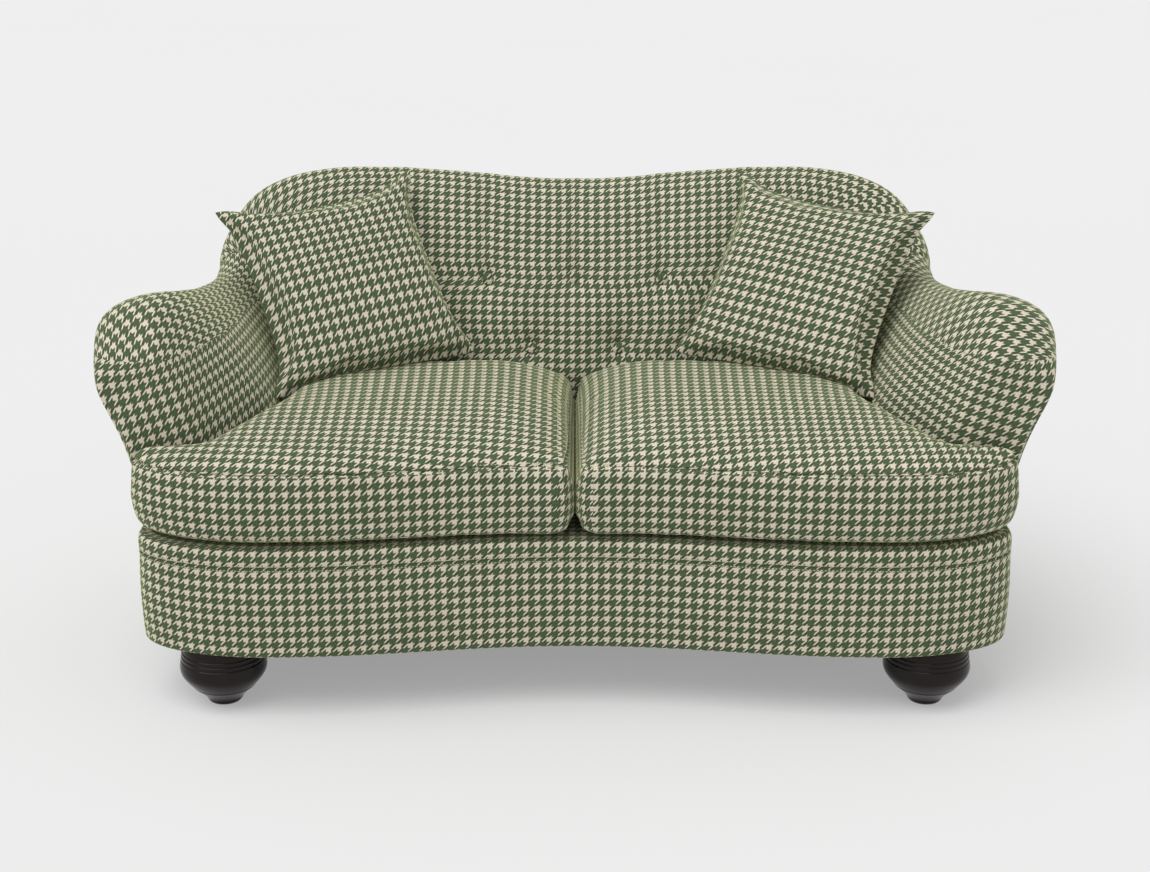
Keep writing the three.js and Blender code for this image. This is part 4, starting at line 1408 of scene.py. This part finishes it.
@dataclass(frozen=True)
class StitchRow:
    """Row of short stitches along a closed line."""

    pitch: float = 0.0068
    length: float = 0.0048
    width: float = 0.0018

    def sew(self, bm: bmesh.types.BMesh, line: list[Vector], lift: float = 0.0003) -> None:
        """Adds the stitches.

        Args:
            bm: Mesh that takes them.
            line: Points of the closed line.
            lift: How far their middles stand off the line, outwards and level.
        """
        loop = [*line, line[0]]
        left = 0.0
        size = Vector((self.length / 2, self.width / 2, self.width / 2))
        for a, b in zip(loop, loop[1:]):
            along = b - a
            span = along.length
            if span == 0:
                continue
            flow = along / span
            off = Vector((flow.y, -flow.x, 0)) * lift
            turn = Vector((1, 0, 0)).rotation_difference(flow).to_matrix().to_4x4()
            while left < span:
                place = Matrix.Translation(a + flow * left + off)
                stretch = Matrix.Diagonal((*size, 1.0))
                bmesh.ops.create_icosphere(bm, subdivisions=1, radius=1.0, matrix=place @ turn @ stretch)
                left += self.pitch
            left -= span

    def piece(self, name: str, lines: list[list[Vector]], thread: bpy.types.Material) -> bpy.types.Object:
        """Object with one or more rows.

        Args:
            name: Piece name.
            lines: The rows' closed lines.
            thread: Finish.

        Returns:
            The stitches.
        """
        bm = bmesh.new()
        for line in lines:
            self.sew(bm, line)
        return piece_from(name, bm, thread)


# Seat cushions


@dataclass
class SeatCushion:
    """T-shaped boxed cushion: simulated padding, then its seams."""

    plan: SetteePlan
    side: Side
    voxel: float = 0.0085
    pressure: float = 5.0
    cap: float = 0.008
    frames: int = 20
    seam_height: float = 0.4746
    bottom: float = 0.3323
    hem_reach: float = 0.055
    hem_rounds: int = 36
    crown: float = 0.064
    crown_start: float = 0.012
    crown_reach: float = 0.02
    crown_rounds: int = 14
    crown_rise: float = 0.004
    front_reach: float = 0.29
    side_reach: float = 0.036
    arm_reach: float = 0.03
    back_reach: float = 0.09
    back_start: float = 0.118
    split_reach: float = 0.175
    wall_gap: float = 0.0009
    wall_depth: float = 0.007
    vent_height: float = 0.036
    vent_half: float = 0.0115
    corner_tuck: float = 0.012
    corner_start: float = 0.55
    groove: float = 0.0075
    groove_wall: float = 0.0045
    groove_half: float = 0.0048
    groove_lip: float = 0.0022
    stitch_rise: float = 0.0052
    cut_reach: float = 2e-4
    level_reach: float = 3e-4
    beside_split: float = 0.004
    join_reach: float = 0.03
    rim_share: float = 0.88
    rim_reach: float = 0.015
    near_reach: float = 0.03
    near_share: float = 0.27
    soft_rounds: int = 6
    flatness: float = 0.8
    arm_line: float = -0.33
    cloth_anchor: tuple = (0.3, 0.1, 0.53)
    firmness: float = 0.8

    def _padding(
        self, node: str, cloth: bpy.types.Material
    ) -> tuple[bpy.types.Object, list[int]]:
        """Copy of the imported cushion, remeshed, with its lower edge rolled under.

        Args:
            node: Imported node.
            cloth: Finish.

        Returns:
            The form and its points on the side at the split.
        """
        bm = bmesh.new()
        bm.from_mesh(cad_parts[node].data)
        bmesh.ops.remove_doubles(bm, verts=bm.verts, dist=1e-5)
        bmesh.ops.recalc_face_normals(bm, faces=bm.faces)
        form = piece_from("padding", bm, cloth)
        remesh = form.modifiers.new("even", "REMESH")
        remesh.mode = "VOXEL"
        remesh.voxel_size = self.voxel
        baked(form)
        beside = [v for v in form.data.vertices if abs(v.co.x) < self.beside_split]
        foremost = min(v.co.y for v in beside)
        wall = [v.index for v in beside if v.co.y > foremost + self.wall_depth]
        self._shape_crown(form)
        hem = form.vertex_groups.new(name="hem")
        crown = form.vertex_groups.new(name="crown")
        for v in form.data.vertices:
            low = (self.bottom + self.hem_reach - v.co.z) / self.hem_reach
            high = (v.co.z - self.seam_height - self.crown_start) / self.crown_reach
            hem.add([v.index], min(max(low, 0), 1), "REPLACE")
            crown.add([v.index], min(max(high, 0), 1), "REPLACE")
        soften(form, "hem", self.hem_rounds)
        soften(form, "crown", self.crown_rounds)
        soften(form, "", self.soft_rounds)
        baked(form)
        return form, wall

    def _shape_crown(self, form: bpy.types.Object) -> None:
        """Raises the top to its crown: slowly from the front and fast from the arms."""
        edges = self._edges()
        for v in form.data.vertices:
            if v.co.z > self.seam_height + 1e-3:
                v.co.z = self.seam_height + self.crown * self._fullness(v.co, edges)

    def _edges(self) -> list[tuple[float, float, float, bool]]:
        """Points round the cushion with how far in the crown rises from each.

        Returns:
            X, Y, reach and whether the point is on the outer rim, for points along
            the front and the side of the base, the arm's front, the arm and the back.
        """
        plan = self.plan
        sign = self.side.value
        arm = [plan.seat_curve.at(i / 300) for i in range(150)]
        arm_front = arm[0].y
        edges = []
        count = plan.rim_count
        for i in range(0, count, 2):
            p = plan.rim[i]
            if p.x * sign > 0 and p.y < arm_front:
                along = (plan.rim[(i + 1) % count] - plan.rim[i - 1]).normalized()
                facing = along.x ** 2
                reach = self.side_reach + (self.front_reach - self.side_reach) * facing
                edges.append((p.x, p.y + plan.row_shift, reach, True))
        for i in range(12):
            x = arm[0].x + (plan.half_base - arm[0].x) * i / 12
            edges.append((x * sign, arm_front + plan.row_shift, self.arm_reach, False))
        for p in arm:
            reach = self.back_reach if p.y > self.back_start else self.arm_reach
            edges.append((p.x * sign, p.y + plan.row_shift, reach, False))
        return edges

    def _fullness(self, point: Vector, edges: list[tuple[float, float, float, bool]]) -> float:
        """Share of the crown's full height at a point of the top.

        Args:
            point: The point.
            edges: Points from _edges.

        Returns:
            The share.
        """
        rim = other = 1.0
        for x, y, reach, on_rim in edges:
            away = math.hypot(point.x - x, point.y - y)
            if away >= reach:
                continue
            rise = 1 - (1 - away / reach) ** 2
            if on_rim:
                step = min(away / self.rim_reach, 1)
                rim = min(rim, self.rim_share * rise + (1 - self.rim_share) * step)
            else:
                other = min(other, rise)
        near = 1 - (1 - min(abs(point.x) / self.near_reach, 1)) ** 2
        far = 1 - (1 - min(abs(point.x) / self.split_reach, 1)) ** 2
        return rim * other * (self.near_share * near + (1 - self.near_share) * far)

    def _close_split(self, form: bpy.types.Object, wall: list[int]) -> None:
        """Presses the side at the split flat against its neighbour, open at its foot.

        Args:
            form: The padded form.
            wall: Its points on that side.
        """
        pressed = set(wall)
        corner = self.plan.half_base - self.corner_start
        for v in form.data.vertices:
            low = max(0.0, 1 - (v.co.z - self.bottom) / self.hem_reach)
            side = max(0.0, abs(v.co.x) - self.corner_start) / corner
            v.co.x -= self.side.value * self.corner_tuck * low * low * side
        for i in wall:
            p = form.data.vertices[i].co
            low = max(0.0, 1 - (p.z - self.bottom) / self.vent_height)
            p.x = self.side.value * (self.wall_gap + self.vent_half * low ** 1.6)
        join = form.vertex_groups.new(name="join")
        for v in form.data.vertices:
            if v.index not in pressed and abs(v.co.x) < self.join_reach:
                join.add([v.index], 1.0, "REPLACE")
        soften(form, "join", 3)
        baked(form)
        for v in form.data.vertices:
            v.co.x = self.side.value * max(self.side.value * v.co.x, self.wall_gap)

    def build(self, cloth: bpy.types.Material, thread: bpy.types.Material) -> bpy.types.Object:
        """Builds the cushion.

        Args:
            cloth: Finish.
            thread: Finish of the stitches.

        Returns:
            The cushion.
        """
        node = f"{self.side.word}_seat_cushion"
        form, wall = self._padding(node, cloth)
        start = [v.co.copy() for v in form.data.vertices]
        inflate(form, self.pressure, self.frames)
        hold_back(form, start, self.cap)
        low, high = (Vector(c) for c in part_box(node))
        fit(form, low, high + Vector((0, 0, self.crown_rise)))
        self._close_split(form, wall)
        form.name = f"{self.side.word}_seat_pad"
        form.data.name = form.name
        line = self._sew(form)
        form.data.materials.clear()
        form.data.materials.append(cloth)
        form.data.polygons.foreach_set("use_smooth", [True] * len(form.data.polygons))
        self._lay(form)
        refine(form)
        seat_on(form, node, Slot.SEAT, node)
        stitches = StitchRow().piece(f"{self.side.word}_seat_stitches", [line], thread)
        seat_on(stitches, node, Slot.SEAT)
        return form

    def _sew(self, form: bpy.types.Object) -> list[Vector]:
        """Cuts the seam into the mesh and tucks it in.

        Args:
            form: The padded form.

        Returns:
            The line that the stitches follow, just above the seam.
        """
        bm = bmesh.new()
        bm.from_mesh(form.data)
        rings = {
            -self.groove_half: 0.0, -self.groove_lip: self.groove_wall, 0.0: self.groove,
            self.groove_lip: self.groove_wall, self.groove_half: 0.0, self.stitch_rise: 0.0,
        }
        for lift in rings:
            geom = [*bm.verts, *bm.edges, *bm.faces]
            cut = Vector((0, 0, self.seam_height + lift))
            bmesh.ops.bisect_plane(bm, geom=geom, plane_co=cut, plane_no=UP, dist=self.cut_reach)
        bm.normal_update()
        line = self._ring(bm, self.seam_height + self.stitch_rise)
        inward = {v: Vector((v.normal.x, v.normal.y, 0)) for v in bm.verts}
        for v in bm.verts:
            for lift, depth in rings.items():
                if depth and abs(v.co.z - self.seam_height - lift) < self.level_reach:
                    v.co -= inward[v] * depth
                    break
        for edge in bm.edges:
            edge.seam = all(abs(v.co.z - self.seam_height) < self.level_reach for v in edge.verts)
        bm.to_mesh(form.data)
        bm.free()
        return line

    def _ring(self, bm: bmesh.types.BMesh, height: float) -> list[Vector]:
        """Longest unbroken line of a mesh at a height where it has been cut.

        Edges are followed in the mesh's own order, so the line is the same each run. It
        breaks off at an edge that leads nowhere.

        Args:
            bm: The mesh.
            height: The height.

        Returns:
            Points of the line, going round anticlockwise.
        """
        edges = dict.fromkeys(
            e for e in bm.edges if all(abs(v.co.z - height) < self.level_reach for v in e.verts)
        )
        best = []
        while edges:
            edge = next(iter(edges))
            del edges[edge]
            first, last = edge.verts
            line = [first, last]
            while True:
                step = next((e for e in last.link_edges if e in edges), None)
                if step is None:
                    break
                del edges[step]
                last = step.other_vert(last)
                line.append(last)
            best = max(best, line, key=len)
        points = [v.co.copy() for v in best]
        area = sum(a.x * b.y - b.x * a.y for a, b in zip(points, points[1:] + points[:1]))
        return points if area > 0 else points[::-1]

    def _lay(self, form: bpy.types.Object) -> None:
        """Lays the cloth: the top panel is flattened, the boxing follows the outline."""
        make_active(form)
        form.data.uv_layers.new(name=CLOTH_MAP)
        mesh = form.data
        top = [p.center.z > self.seam_height for p in mesh.polygons]
        mesh.polygons.foreach_set("select", top)
        bpy.ops.object.mode_set(mode="EDIT")
        bpy.ops.uv.unwrap(method="ANGLE_BASED", margin=0.001)
        bpy.ops.object.mode_set(mode="OBJECT")
        bm = bmesh.new()
        bm.from_mesh(form.data)
        layer = bm.loops.layers.uv.active
        front = self.plan.front + self.plan.row_shift
        panel = [f for f in bm.faces if f.calc_center_median().z > self.seam_height]
        x, past, z = self.cloth_anchor
        middle = Vector((self.side.value * x, front + past, z))
        _lay_level_panel(panel, layer, middle)
        tree = kdtree.KDTree(self.plan.rim_count)
        for i, p in enumerate(self.plan.rim):
            tree.insert((p.x, p.y + self.plan.row_shift, 0), i)
        tree.balance()
        step = self.plan.rim_length / self.plan.rim_count
        half = self.plan.rim_count / 2
        for face in bm.faces:
            centre = face.calc_center_median()
            if centre.z > self.seam_height:
                continue
            flat = abs(face.normal.z) > self.flatness
            for loop in face.loops:
                p = loop.vert.co
                if flat:
                    loop[layer].uv = (p.x, p.y)
                elif abs(centre.x) < self.join_reach:
                    loop[layer].uv = (self.side.value * (abs(p.x) - (p.y - front)), p.z)
                elif centre.y < self.arm_line:
                    near, i, _ = tree.find((p.x, p.y, 0))
                    along = self.plan.rim[(i + 1) % self.plan.rim_count] - self.plan.rim[i - 1]
                    past = (p.xy - near.xy).dot(along.normalized())
                    loop[layer].uv = ((i - half) * step + past, p.z)
                else:
                    loop[layer].uv = (p.y, p.z)
        bm.to_mesh(form.data)
        bm.free()


def _lay_level_panel(panel: list, layer: bmesh.types.BMLayerItem, anchor: Vector) -> None:
    """Scales a flattened panel to real size with its columns along Y at the anchor.

    Args:
        panel: Its faces.
        layer: Cloth map.
        anchor: Point whose cloth place is its X and Y.
    """
    scale = panel_scale(panel, layer)
    face = nearest_face(panel, anchor)
    run, mirrored = cloth_run(face, layer, 1)
    turn = Matrix.Rotation(-run, 2)
    flip = -1.0 if mirrored else 1.0
    origin = face.loops[0][layer].uv.copy()
    home = face.loops[0].vert.co.copy()
    for face in panel:
        for loop in face.loops:
            laid = (turn @ (loop[layer].uv - origin)) * scale
            loop[layer].uv = (laid.x + home.x, laid.y * flip + home.y)


def inflate(
    form: bpy.types.Object, pressure: float, frames: int, stretch: float = 25.0, bend: float = 4.0
) -> None:
    """Blows a closed form up as cloth under pressure and applies the result.

    Args:
        form: Closed form.
        pressure: Air pressure inside it.
        frames: Frames to run.
        stretch: Stiffness against stretching.
        bend: Stiffness against bending.
    """
    cloth = form.modifiers.new("cloth", "CLOTH")
    settings = cloth.settings
    settings.quality = 5
    settings.mass = 0.3
    settings.use_pressure = True
    settings.uniform_pressure_force = pressure
    settings.effector_weights.gravity = 0.0
    settings.tension_stiffness = stretch
    settings.compression_stiffness = stretch / 2
    settings.bending_stiffness = bend
    scene = bpy.context.scene
    cloth.point_cache.frame_start = 1
    cloth.point_cache.frame_end = frames
    for number in range(1, frames + 1):
        scene.frame_set(number)
    baked(form)
    scene.frame_set(1)


def fit(form: bpy.types.Object, low: Vector, high: Vector) -> None:
    """Stretches a form to fill a box.

    Args:
        form: The form.
        low: Lowest corner of the box.
        high: Highest corner of the box.
    """
    points = [v.co.copy() for v in form.data.vertices]
    least = Vector([min(p[i] for p in points) for i in range(3)])
    most = Vector([max(p[i] for p in points) for i in range(3)])
    for v, p in zip(form.data.vertices, points):
        v.co = [
            low[i] + (p[i] - least[i]) * (high[i] - low[i]) / (most[i] - least[i]) for i in range(3)
        ]


def hold_back(form: bpy.types.Object, start: list[Vector], cap: float) -> None:
    """Limits how far each point may have moved.

    Args:
        form: The form.
        start: Where its points started.
        cap: The most that one may move.
    """
    for v, old in zip(form.data.vertices, start):
        move = v.co - old
        if move.length > cap:
            v.co = old + move * (cap / move.length)


# Scatter cushions


@dataclass
class ScatterCushion:
    """Square cushion with a sewn knife edge and soft dog-eared corners."""

    plan: SetteePlan
    side: Side
    wide: float = 0.424
    tall: float = 0.408
    thickness: float = 0.128
    slack: float = 0.72
    pull_power: float = 5.0
    rim_power: float = 2.2
    fill: float = 0.6
    across: float = 0.463
    along: float = 0.106
    height: float = 0.6917
    turn: float = 0.43
    lean: float = 0.68
    roll: float = 0.105
    cells: int = 60
    pressure: float = 3.0
    frames: int = 18
    cap: float = 0.02
    corner_hold: float = 3.0
    edge_reach: float = 0.016
    edge_share: float = 0.2
    fold_start: tuple = (0.05, -0.2)
    fold_end: tuple = (0.012, -0.15)
    fold_depth: float = 0.004
    fold_reach: float = 0.011
    clearance: float = 0.0015
    ray_lift: float = 0.3
    stretch: float = 12.0
    bend: float = 0.6
    firmness: float = 0.6

    def _draws(self, outer: bool, top: bool) -> tuple[float, float, float, float]:
        """How far the side and the end of a quarter draw in, and how soon from the corner.

        Args:
            outer: Whether the quarter is on the arm's side.
            top: Whether it is an upper one.

        Returns:
            Draw and power of the side, then draw and power of the end.
        """
        side = (0.018, 4.6) if outer else (0.009, 2.6)
        end = (0.025, 2.0 if outer else 3.0) if top else (-0.016, 2.4)
        return (*side, *end)

    def _corner(self, outer: bool, top: bool) -> tuple[float, float, float]:
        """Shape of the corner of a quarter: pull across, pull up and roundness power."""
        if top:
            return (0.006, 0.004, 12.0) if outer else (0.028, 0.018, 12.0)
        return (0.014, 0.02, 16.0) if outer else (0.01, 0.018, 16.0)

    def _point(self, u: float, v: float, face: int) -> Vector:
        """Point of one face before it is blown up.

        Args:
            u: Place across, from -1 to 1.
            v: Place up, from -1 to 1.
            face: 1 for the back face and -1 for the front face.

        Returns:
            The point in the cushion's own frame.
        """
        a, b = abs(u), abs(v)
        swell = ((1 - a ** self.rim_power) * (1 - b ** self.rim_power)) ** self.fill
        outer, top = u * self.side.value > 0, v > 0
        side_draw, side_power, end_draw, end_power = self._draws(outer, top)
        pull_x, pull_z, roundness = self._corner(outer, top)
        most = max(a, b)
        less = min(a, b) / most if most > 0 else 0.0
        squeeze = 1 - (1 - 1 / (1 + less ** roundness) ** (1 / roundness)) * most ** 8
        corner = (a * b) ** self.pull_power
        x = u * squeeze * (self.wide / 2 - side_draw * (1 - b ** side_power) + pull_x * corner)
        z = v * squeeze * (self.tall / 2 - end_draw * (1 - a ** end_power) + pull_z * corner)
        return Vector((x, face * self.thickness * self.slack * swell / 2, z))

    def _sheets(self) -> bmesh.types.BMesh:
        """Front and back sheets joined along the knife edge."""
        whole = bmesh.new()
        for face in (-1, 1):
            half_form = grid_sheet(
                self.cells, self.cells,
                lambda s, t, face=face: self._point(2 * s - 1, 2 * t - 1, face),
                lambda s, t, p, face=face: (
                    (2 * s - 1) * self.wide / 2 * -face, (2 * t - 1) * self.tall / 2
                ),
                flip=face > 0,
            )
            mesh = bpy.data.meshes.new("half")
            half_form.to_mesh(mesh)
            half_form.free()
            whole.from_mesh(mesh)
            bpy.data.meshes.remove(mesh)
        close_up(whole, 1e-5)
        return whole

    def _keep_corners(self, pad: bpy.types.Object, start: list[Vector]) -> None:
        """Brings the corners back to the outline that they were cut to.

        Args:
            pad: The pad in its own frame.
            start: Where its points were before it was blown up.
        """
        for v, old in zip(pad.data.vertices, start):
            share = min(abs(4 * old.x * old.z / (self.wide * self.tall)) ** self.corner_hold, 1)
            v.co.x += (old.x - v.co.x) * share
            v.co.z += (old.z - v.co.z) * share

    def _finish_edge(self, pad: bpy.types.Object, rim: list[int]) -> None:
        """Thins the pad towards its seam, so that the edge stands out as sewn.

        Args:
            pad: The pad in its own frame.
            rim: Its points on the seam.
        """
        points = pad.data.vertices
        tree = kdtree.KDTree(len(rim))
        for i in rim:
            tree.insert((points[i].co.x, 0, points[i].co.z), i)
        tree.balance()
        edge = {i: points[i].co.y for i in rim}
        for v in points:
            _, i, away = tree.find((v.co.x, 0, v.co.z))
            share = min(away / self.edge_reach, 1)
            share = self.edge_share + (1 - self.edge_share) * share * share * (3 - 2 * share)
            v.co.y = edge[i] + (v.co.y - edge[i]) * share

    def _fold(self, pad: bpy.types.Object) -> None:
        """Presses the small fold into the lower part of the front."""
        sign = self.side.value
        a = Vector((sign * self.fold_start[0], self.fold_start[1]))
        b = Vector((sign * self.fold_end[0], self.fold_end[1]))
        for v in pad.data.vertices:
            if v.co.y > 0:
                continue
            p = Vector((v.co.x, v.co.z))
            share = min(max((p - a).dot(b - a) / (b - a).length_squared, 0), 1)
            away = (p - a.lerp(b, share)).length
            v.co.y += self.fold_depth * (1 - 0.7 * share) * math.exp(-((away / self.fold_reach) ** 2))

    def _rest_on(self, pad: bpy.types.Object, seat: bpy.types.Object) -> None:
        """Lifts whatever would sink into the seat cushion on to it.

        Args:
            pad: The pad in its place.
            seat: The seat cushion below.
        """
        tree = BVHTree.FromObject(seat, bpy.context.evaluated_depsgraph_get())
        for v in pad.data.vertices:
            hit = tree.ray_cast(v.co + UP * self.ray_lift, -UP)[0]
            if hit is not None:
                v.co.z = max(v.co.z, hit.z + self.clearance)

    def build(self, cloth: bpy.types.Material, seat: bpy.types.Object) -> None:
        """Builds the cushion.

        Args:
            cloth: Finish.
            seat: Seat cushion that it rests on.
        """
        sign = self.side.value
        turn = (
            Matrix.Rotation(-sign * self.turn, 4, "Z")
            @ Matrix.Rotation(-self.lean, 4, "X")
            @ Matrix.Rotation(sign * self.roll, 4, "Y")
        )
        centre = self.plan.placed(Vector((sign * self.across, self.along, self.height)))
        whole = self._sheets()
        rim = [v.index for v in whole.verts if abs(v.co.y) < 1e-7]
        pad = piece_from(f"{self.side.word}_scatter_pad", whole, cloth)
        start = [v.co.copy() for v in pad.data.vertices]
        inflate(pad, self.pressure, self.frames, self.stretch, self.bend)
        hold_back(pad, start, self.cap)
        half = self.thickness / 2
        low = Vector((min(p.x for p in start), -half, min(p.z for p in start)))
        high = Vector((max(p.x for p in start), half, max(p.z for p in start)))
        fit(pad, low, high)
        self._keep_corners(pad, start)
        self._finish_edge(pad, rim)
        self._fold(pad)
        pad.data.transform(Matrix.Translation(centre) @ turn)
        self._rest_on(pad, seat)
        refine(pad)
        node = f"{self.side.word}_scatter_cushion"
        seat_on(pad, node, Slot.SCATTER, node)


# Feet


@dataclass
class TurnedFoot:
    """Turned bun foot with fine rings, spun from its profile."""

    plan: SetteePlan
    place: str
    centre: tuple[float, float]
    height: float = 0.12
    belly: float = 0.081
    sides: int = 72
    steps: int = 140
    profile: tuple = (
        (0.37, 0), (0.4, 0.025), (0.435, 0.075), (0.51, 0.135), (0.61, 0.2), (0.715, 0.262),
        (0.735, 0.274), (0.75, 0.292), (0.85, 0.37), (0.935, 0.45), (0.98, 0.51), (1, 0.58),
        (0.997, 0.63), (0.985, 0.68), (0.972, 0.715), (0.957, 0.724), (0.966, 0.738), (0.96, 0.79),
        (0.944, 0.799), (0.952, 0.813), (0.942, 0.86), (0.925, 0.869), (0.932, 0.883), (0.9, 0.95),
        (0.86, 1),
    )

    def build(self, wood: bpy.types.Material) -> None:
        """Spins the foot.

        Args:
            wood: Finish.
        """
        points = [Vector((r * self.belly, 0, z * self.height)) for r, z in self.profile]
        curve = GuideCurve(points)
        bm = bmesh.new()
        turned = [curve.at(i / self.steps) for i in range(self.steps + 1)]
        line = [Vector(), *turned, UP * self.height]
        verts = [bm.verts.new(p) for p in line]
        edges = [bm.edges.new(pair) for pair in zip(verts, verts[1:])]
        bmesh.ops.spin(bm, geom=[*verts, *edges], cent=Vector(), axis=UP,
                       angle=math.tau, steps=self.sides, use_merge=True)
        close_up(bm)
        bmesh.ops.recalc_face_normals(bm, faces=bm.faces)
        bmesh.ops.translate(bm, vec=self.plan.placed(Vector((*self.centre, 0))), verts=bm.verts)
        foot = piece_from(f"{self.place}_turned_foot", bm, wood)
        seat_on(foot, "settee", Slot.FOOT, f"{self.place}_foot")


# Frame and studio


@dataclass
class HiddenFrame:
    """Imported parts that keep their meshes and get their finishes."""

    def dress(self, finishes: dict[str, bpy.types.Material]) -> None:
        """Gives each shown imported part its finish.

        Args:
            finishes: Material by a word in the node's name, the first match counts.
        """
        for name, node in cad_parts.items():
            if node.hide_render:
                continue
            for word, material in finishes.items():
                if word in name:
                    node.data.materials.clear()
                    node.data.materials.append(material)
                    log.info("%s gets %s", name, material.name)
                    break


@dataclass
class Studio:
    """Camera, pale floor and soft light."""

    lens: float = 62.6
    pitch: float = 71.07
    stand: tuple = (0.0, -3.7564, 1.689)
    floor_half: float = 60.0
    floor_painted_light: float = 0.3
    sky: float = 0.74
    key_power: float = 1.9

    def camera(self) -> None:
        """Sets the camera at the photograph's viewpoint."""
        data = bpy.data.cameras.new("view")
        data.lens = self.lens
        data.sensor_width = 36.0
        data.sensor_fit = "HORIZONTAL"
        data.clip_end = 100.0
        camera = bpy.data.objects.new("view", data)
        camera.location = self.stand
        camera.rotation_euler = (math.radians(self.pitch), 0, 0)
        bpy.context.scene.collection.objects.link(camera)
        bpy.context.scene.camera = camera

    def floor(self) -> None:
        """Lays the floor, which glows a little: painted light that lifts the shadows on it and lights the
        settee from below.
        """
        bm = bmesh.new()
        bmesh.ops.create_grid(bm, x_segments=1, y_segments=1, size=self.floor_half)
        sheet = NodeSheet("studio floor")
        cloud = sheet.speckle(sheet.object_place(), 0.5)
        paint = sheet.finish({
            "Base Color": sheet.blend(cloud, tone(175, 175, 175), tone(178, 178, 178)),
            "Roughness": 0.95,
            "Specular IOR Level": 0.0,
            # Emission: painted light, a glow of a floor that is no lamp, lifting its shadows
            "Emission Color": (1.0, 1.0, 1.0, 1.0),
            "Emission Strength": self.floor_painted_light,
        })
        floor = piece_from("studio_floor", bm, paint)

    def light(self) -> None:
        """Sets the soft light of the studio."""
        scene = bpy.context.scene
        scene.view_settings.view_transform = "Standard"
        world = bpy.data.worlds.new("studio")
        scene.world = world
        world.use_nodes = True
        background = world.node_tree.nodes["Background"]
        background.inputs[0].default_value = (1, 1, 1, 1)
        background.inputs[1].default_value = self.sky
        self._sun("key", (0.34, 0.26, -0.9), 50, self.key_power)

    def _sun(self, name: str, towards: tuple, spread: float, power: float) -> None:
        """Adds a wide soft sun.

        Args:
            name: Its name.
            towards: Direction that its light travels in.
            spread: Its angle in degrees.
            power: Its strength.
        """
        data = bpy.data.lights.new(name, "SUN")
        data.angle = math.radians(spread)
        data.energy = power
        lamp = bpy.data.objects.new(name, data)
        lamp.rotation_euler = Vector(towards).to_track_quat("-Z", "Y").to_euler()
        bpy.context.scene.collection.objects.link(lamp)


def main() -> None:
    """Builds the settee's pieces in order."""
    logging.basicConfig(level=logging.INFO, format="%(name)s: %(message)s")
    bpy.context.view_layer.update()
    studio = Studio()
    studio.camera()
    studio.floor()
    studio.light()
    plan = SetteePlan()
    cover = Houndstooth("cover houndstooth").material()
    seat = Houndstooth("seat houndstooth").material()
    scatter = Houndstooth("scatter houndstooth").material()
    thread = SewingThread().material()
    wood = PolishedWood().material()
    BaseCovers(plan).build(cover, thread)
    TuftedBack(plan).build(cover)
    for side in Side:
        RolledArm(plan, side).build(cover)
        cushion = SeatCushion(plan, side).build(seat, thread)
        ScatterCushion(plan, side).build(scatter, cushion)
    feet = {
        "front_left": (-0.658, -0.359), "front_right": (0.658, -0.359),
        "rear_left": (-0.664, 0.3), "rear_right": (0.664, 0.3),
    }
    for place, centre in feet.items():
        TurnedFoot(plan, place, centre).build(wood)
    timber = PlainTimber("frame timber", tone(214, 184, 138), tone(168, 128, 84), (4.0, 40.0, 40.0))
    plywood = PlainTimber(
        "rib plywood", tone(224, 198, 152), tone(186, 150, 104), (30.0, 30.0, 5.0), 0.003
    )
    webbing = PlainWeave("webbing weave", tone(150, 132, 104), tone(92, 78, 60), 0.004)
    dust_cover = PlainWeave("dust cover weave", tone(44, 44, 44), tone(16, 16, 16), 0.0016)
    HiddenFrame().dress({
        "bolt": BrightSteel().material(),
        "rib": plywood.material(),
        "webbing": webbing.material(),
        "dust_cover": dust_cover.material(),
        "rail": timber.material(),
        "block": timber.material(),
    })


if __name__ == "__main__":
    main()
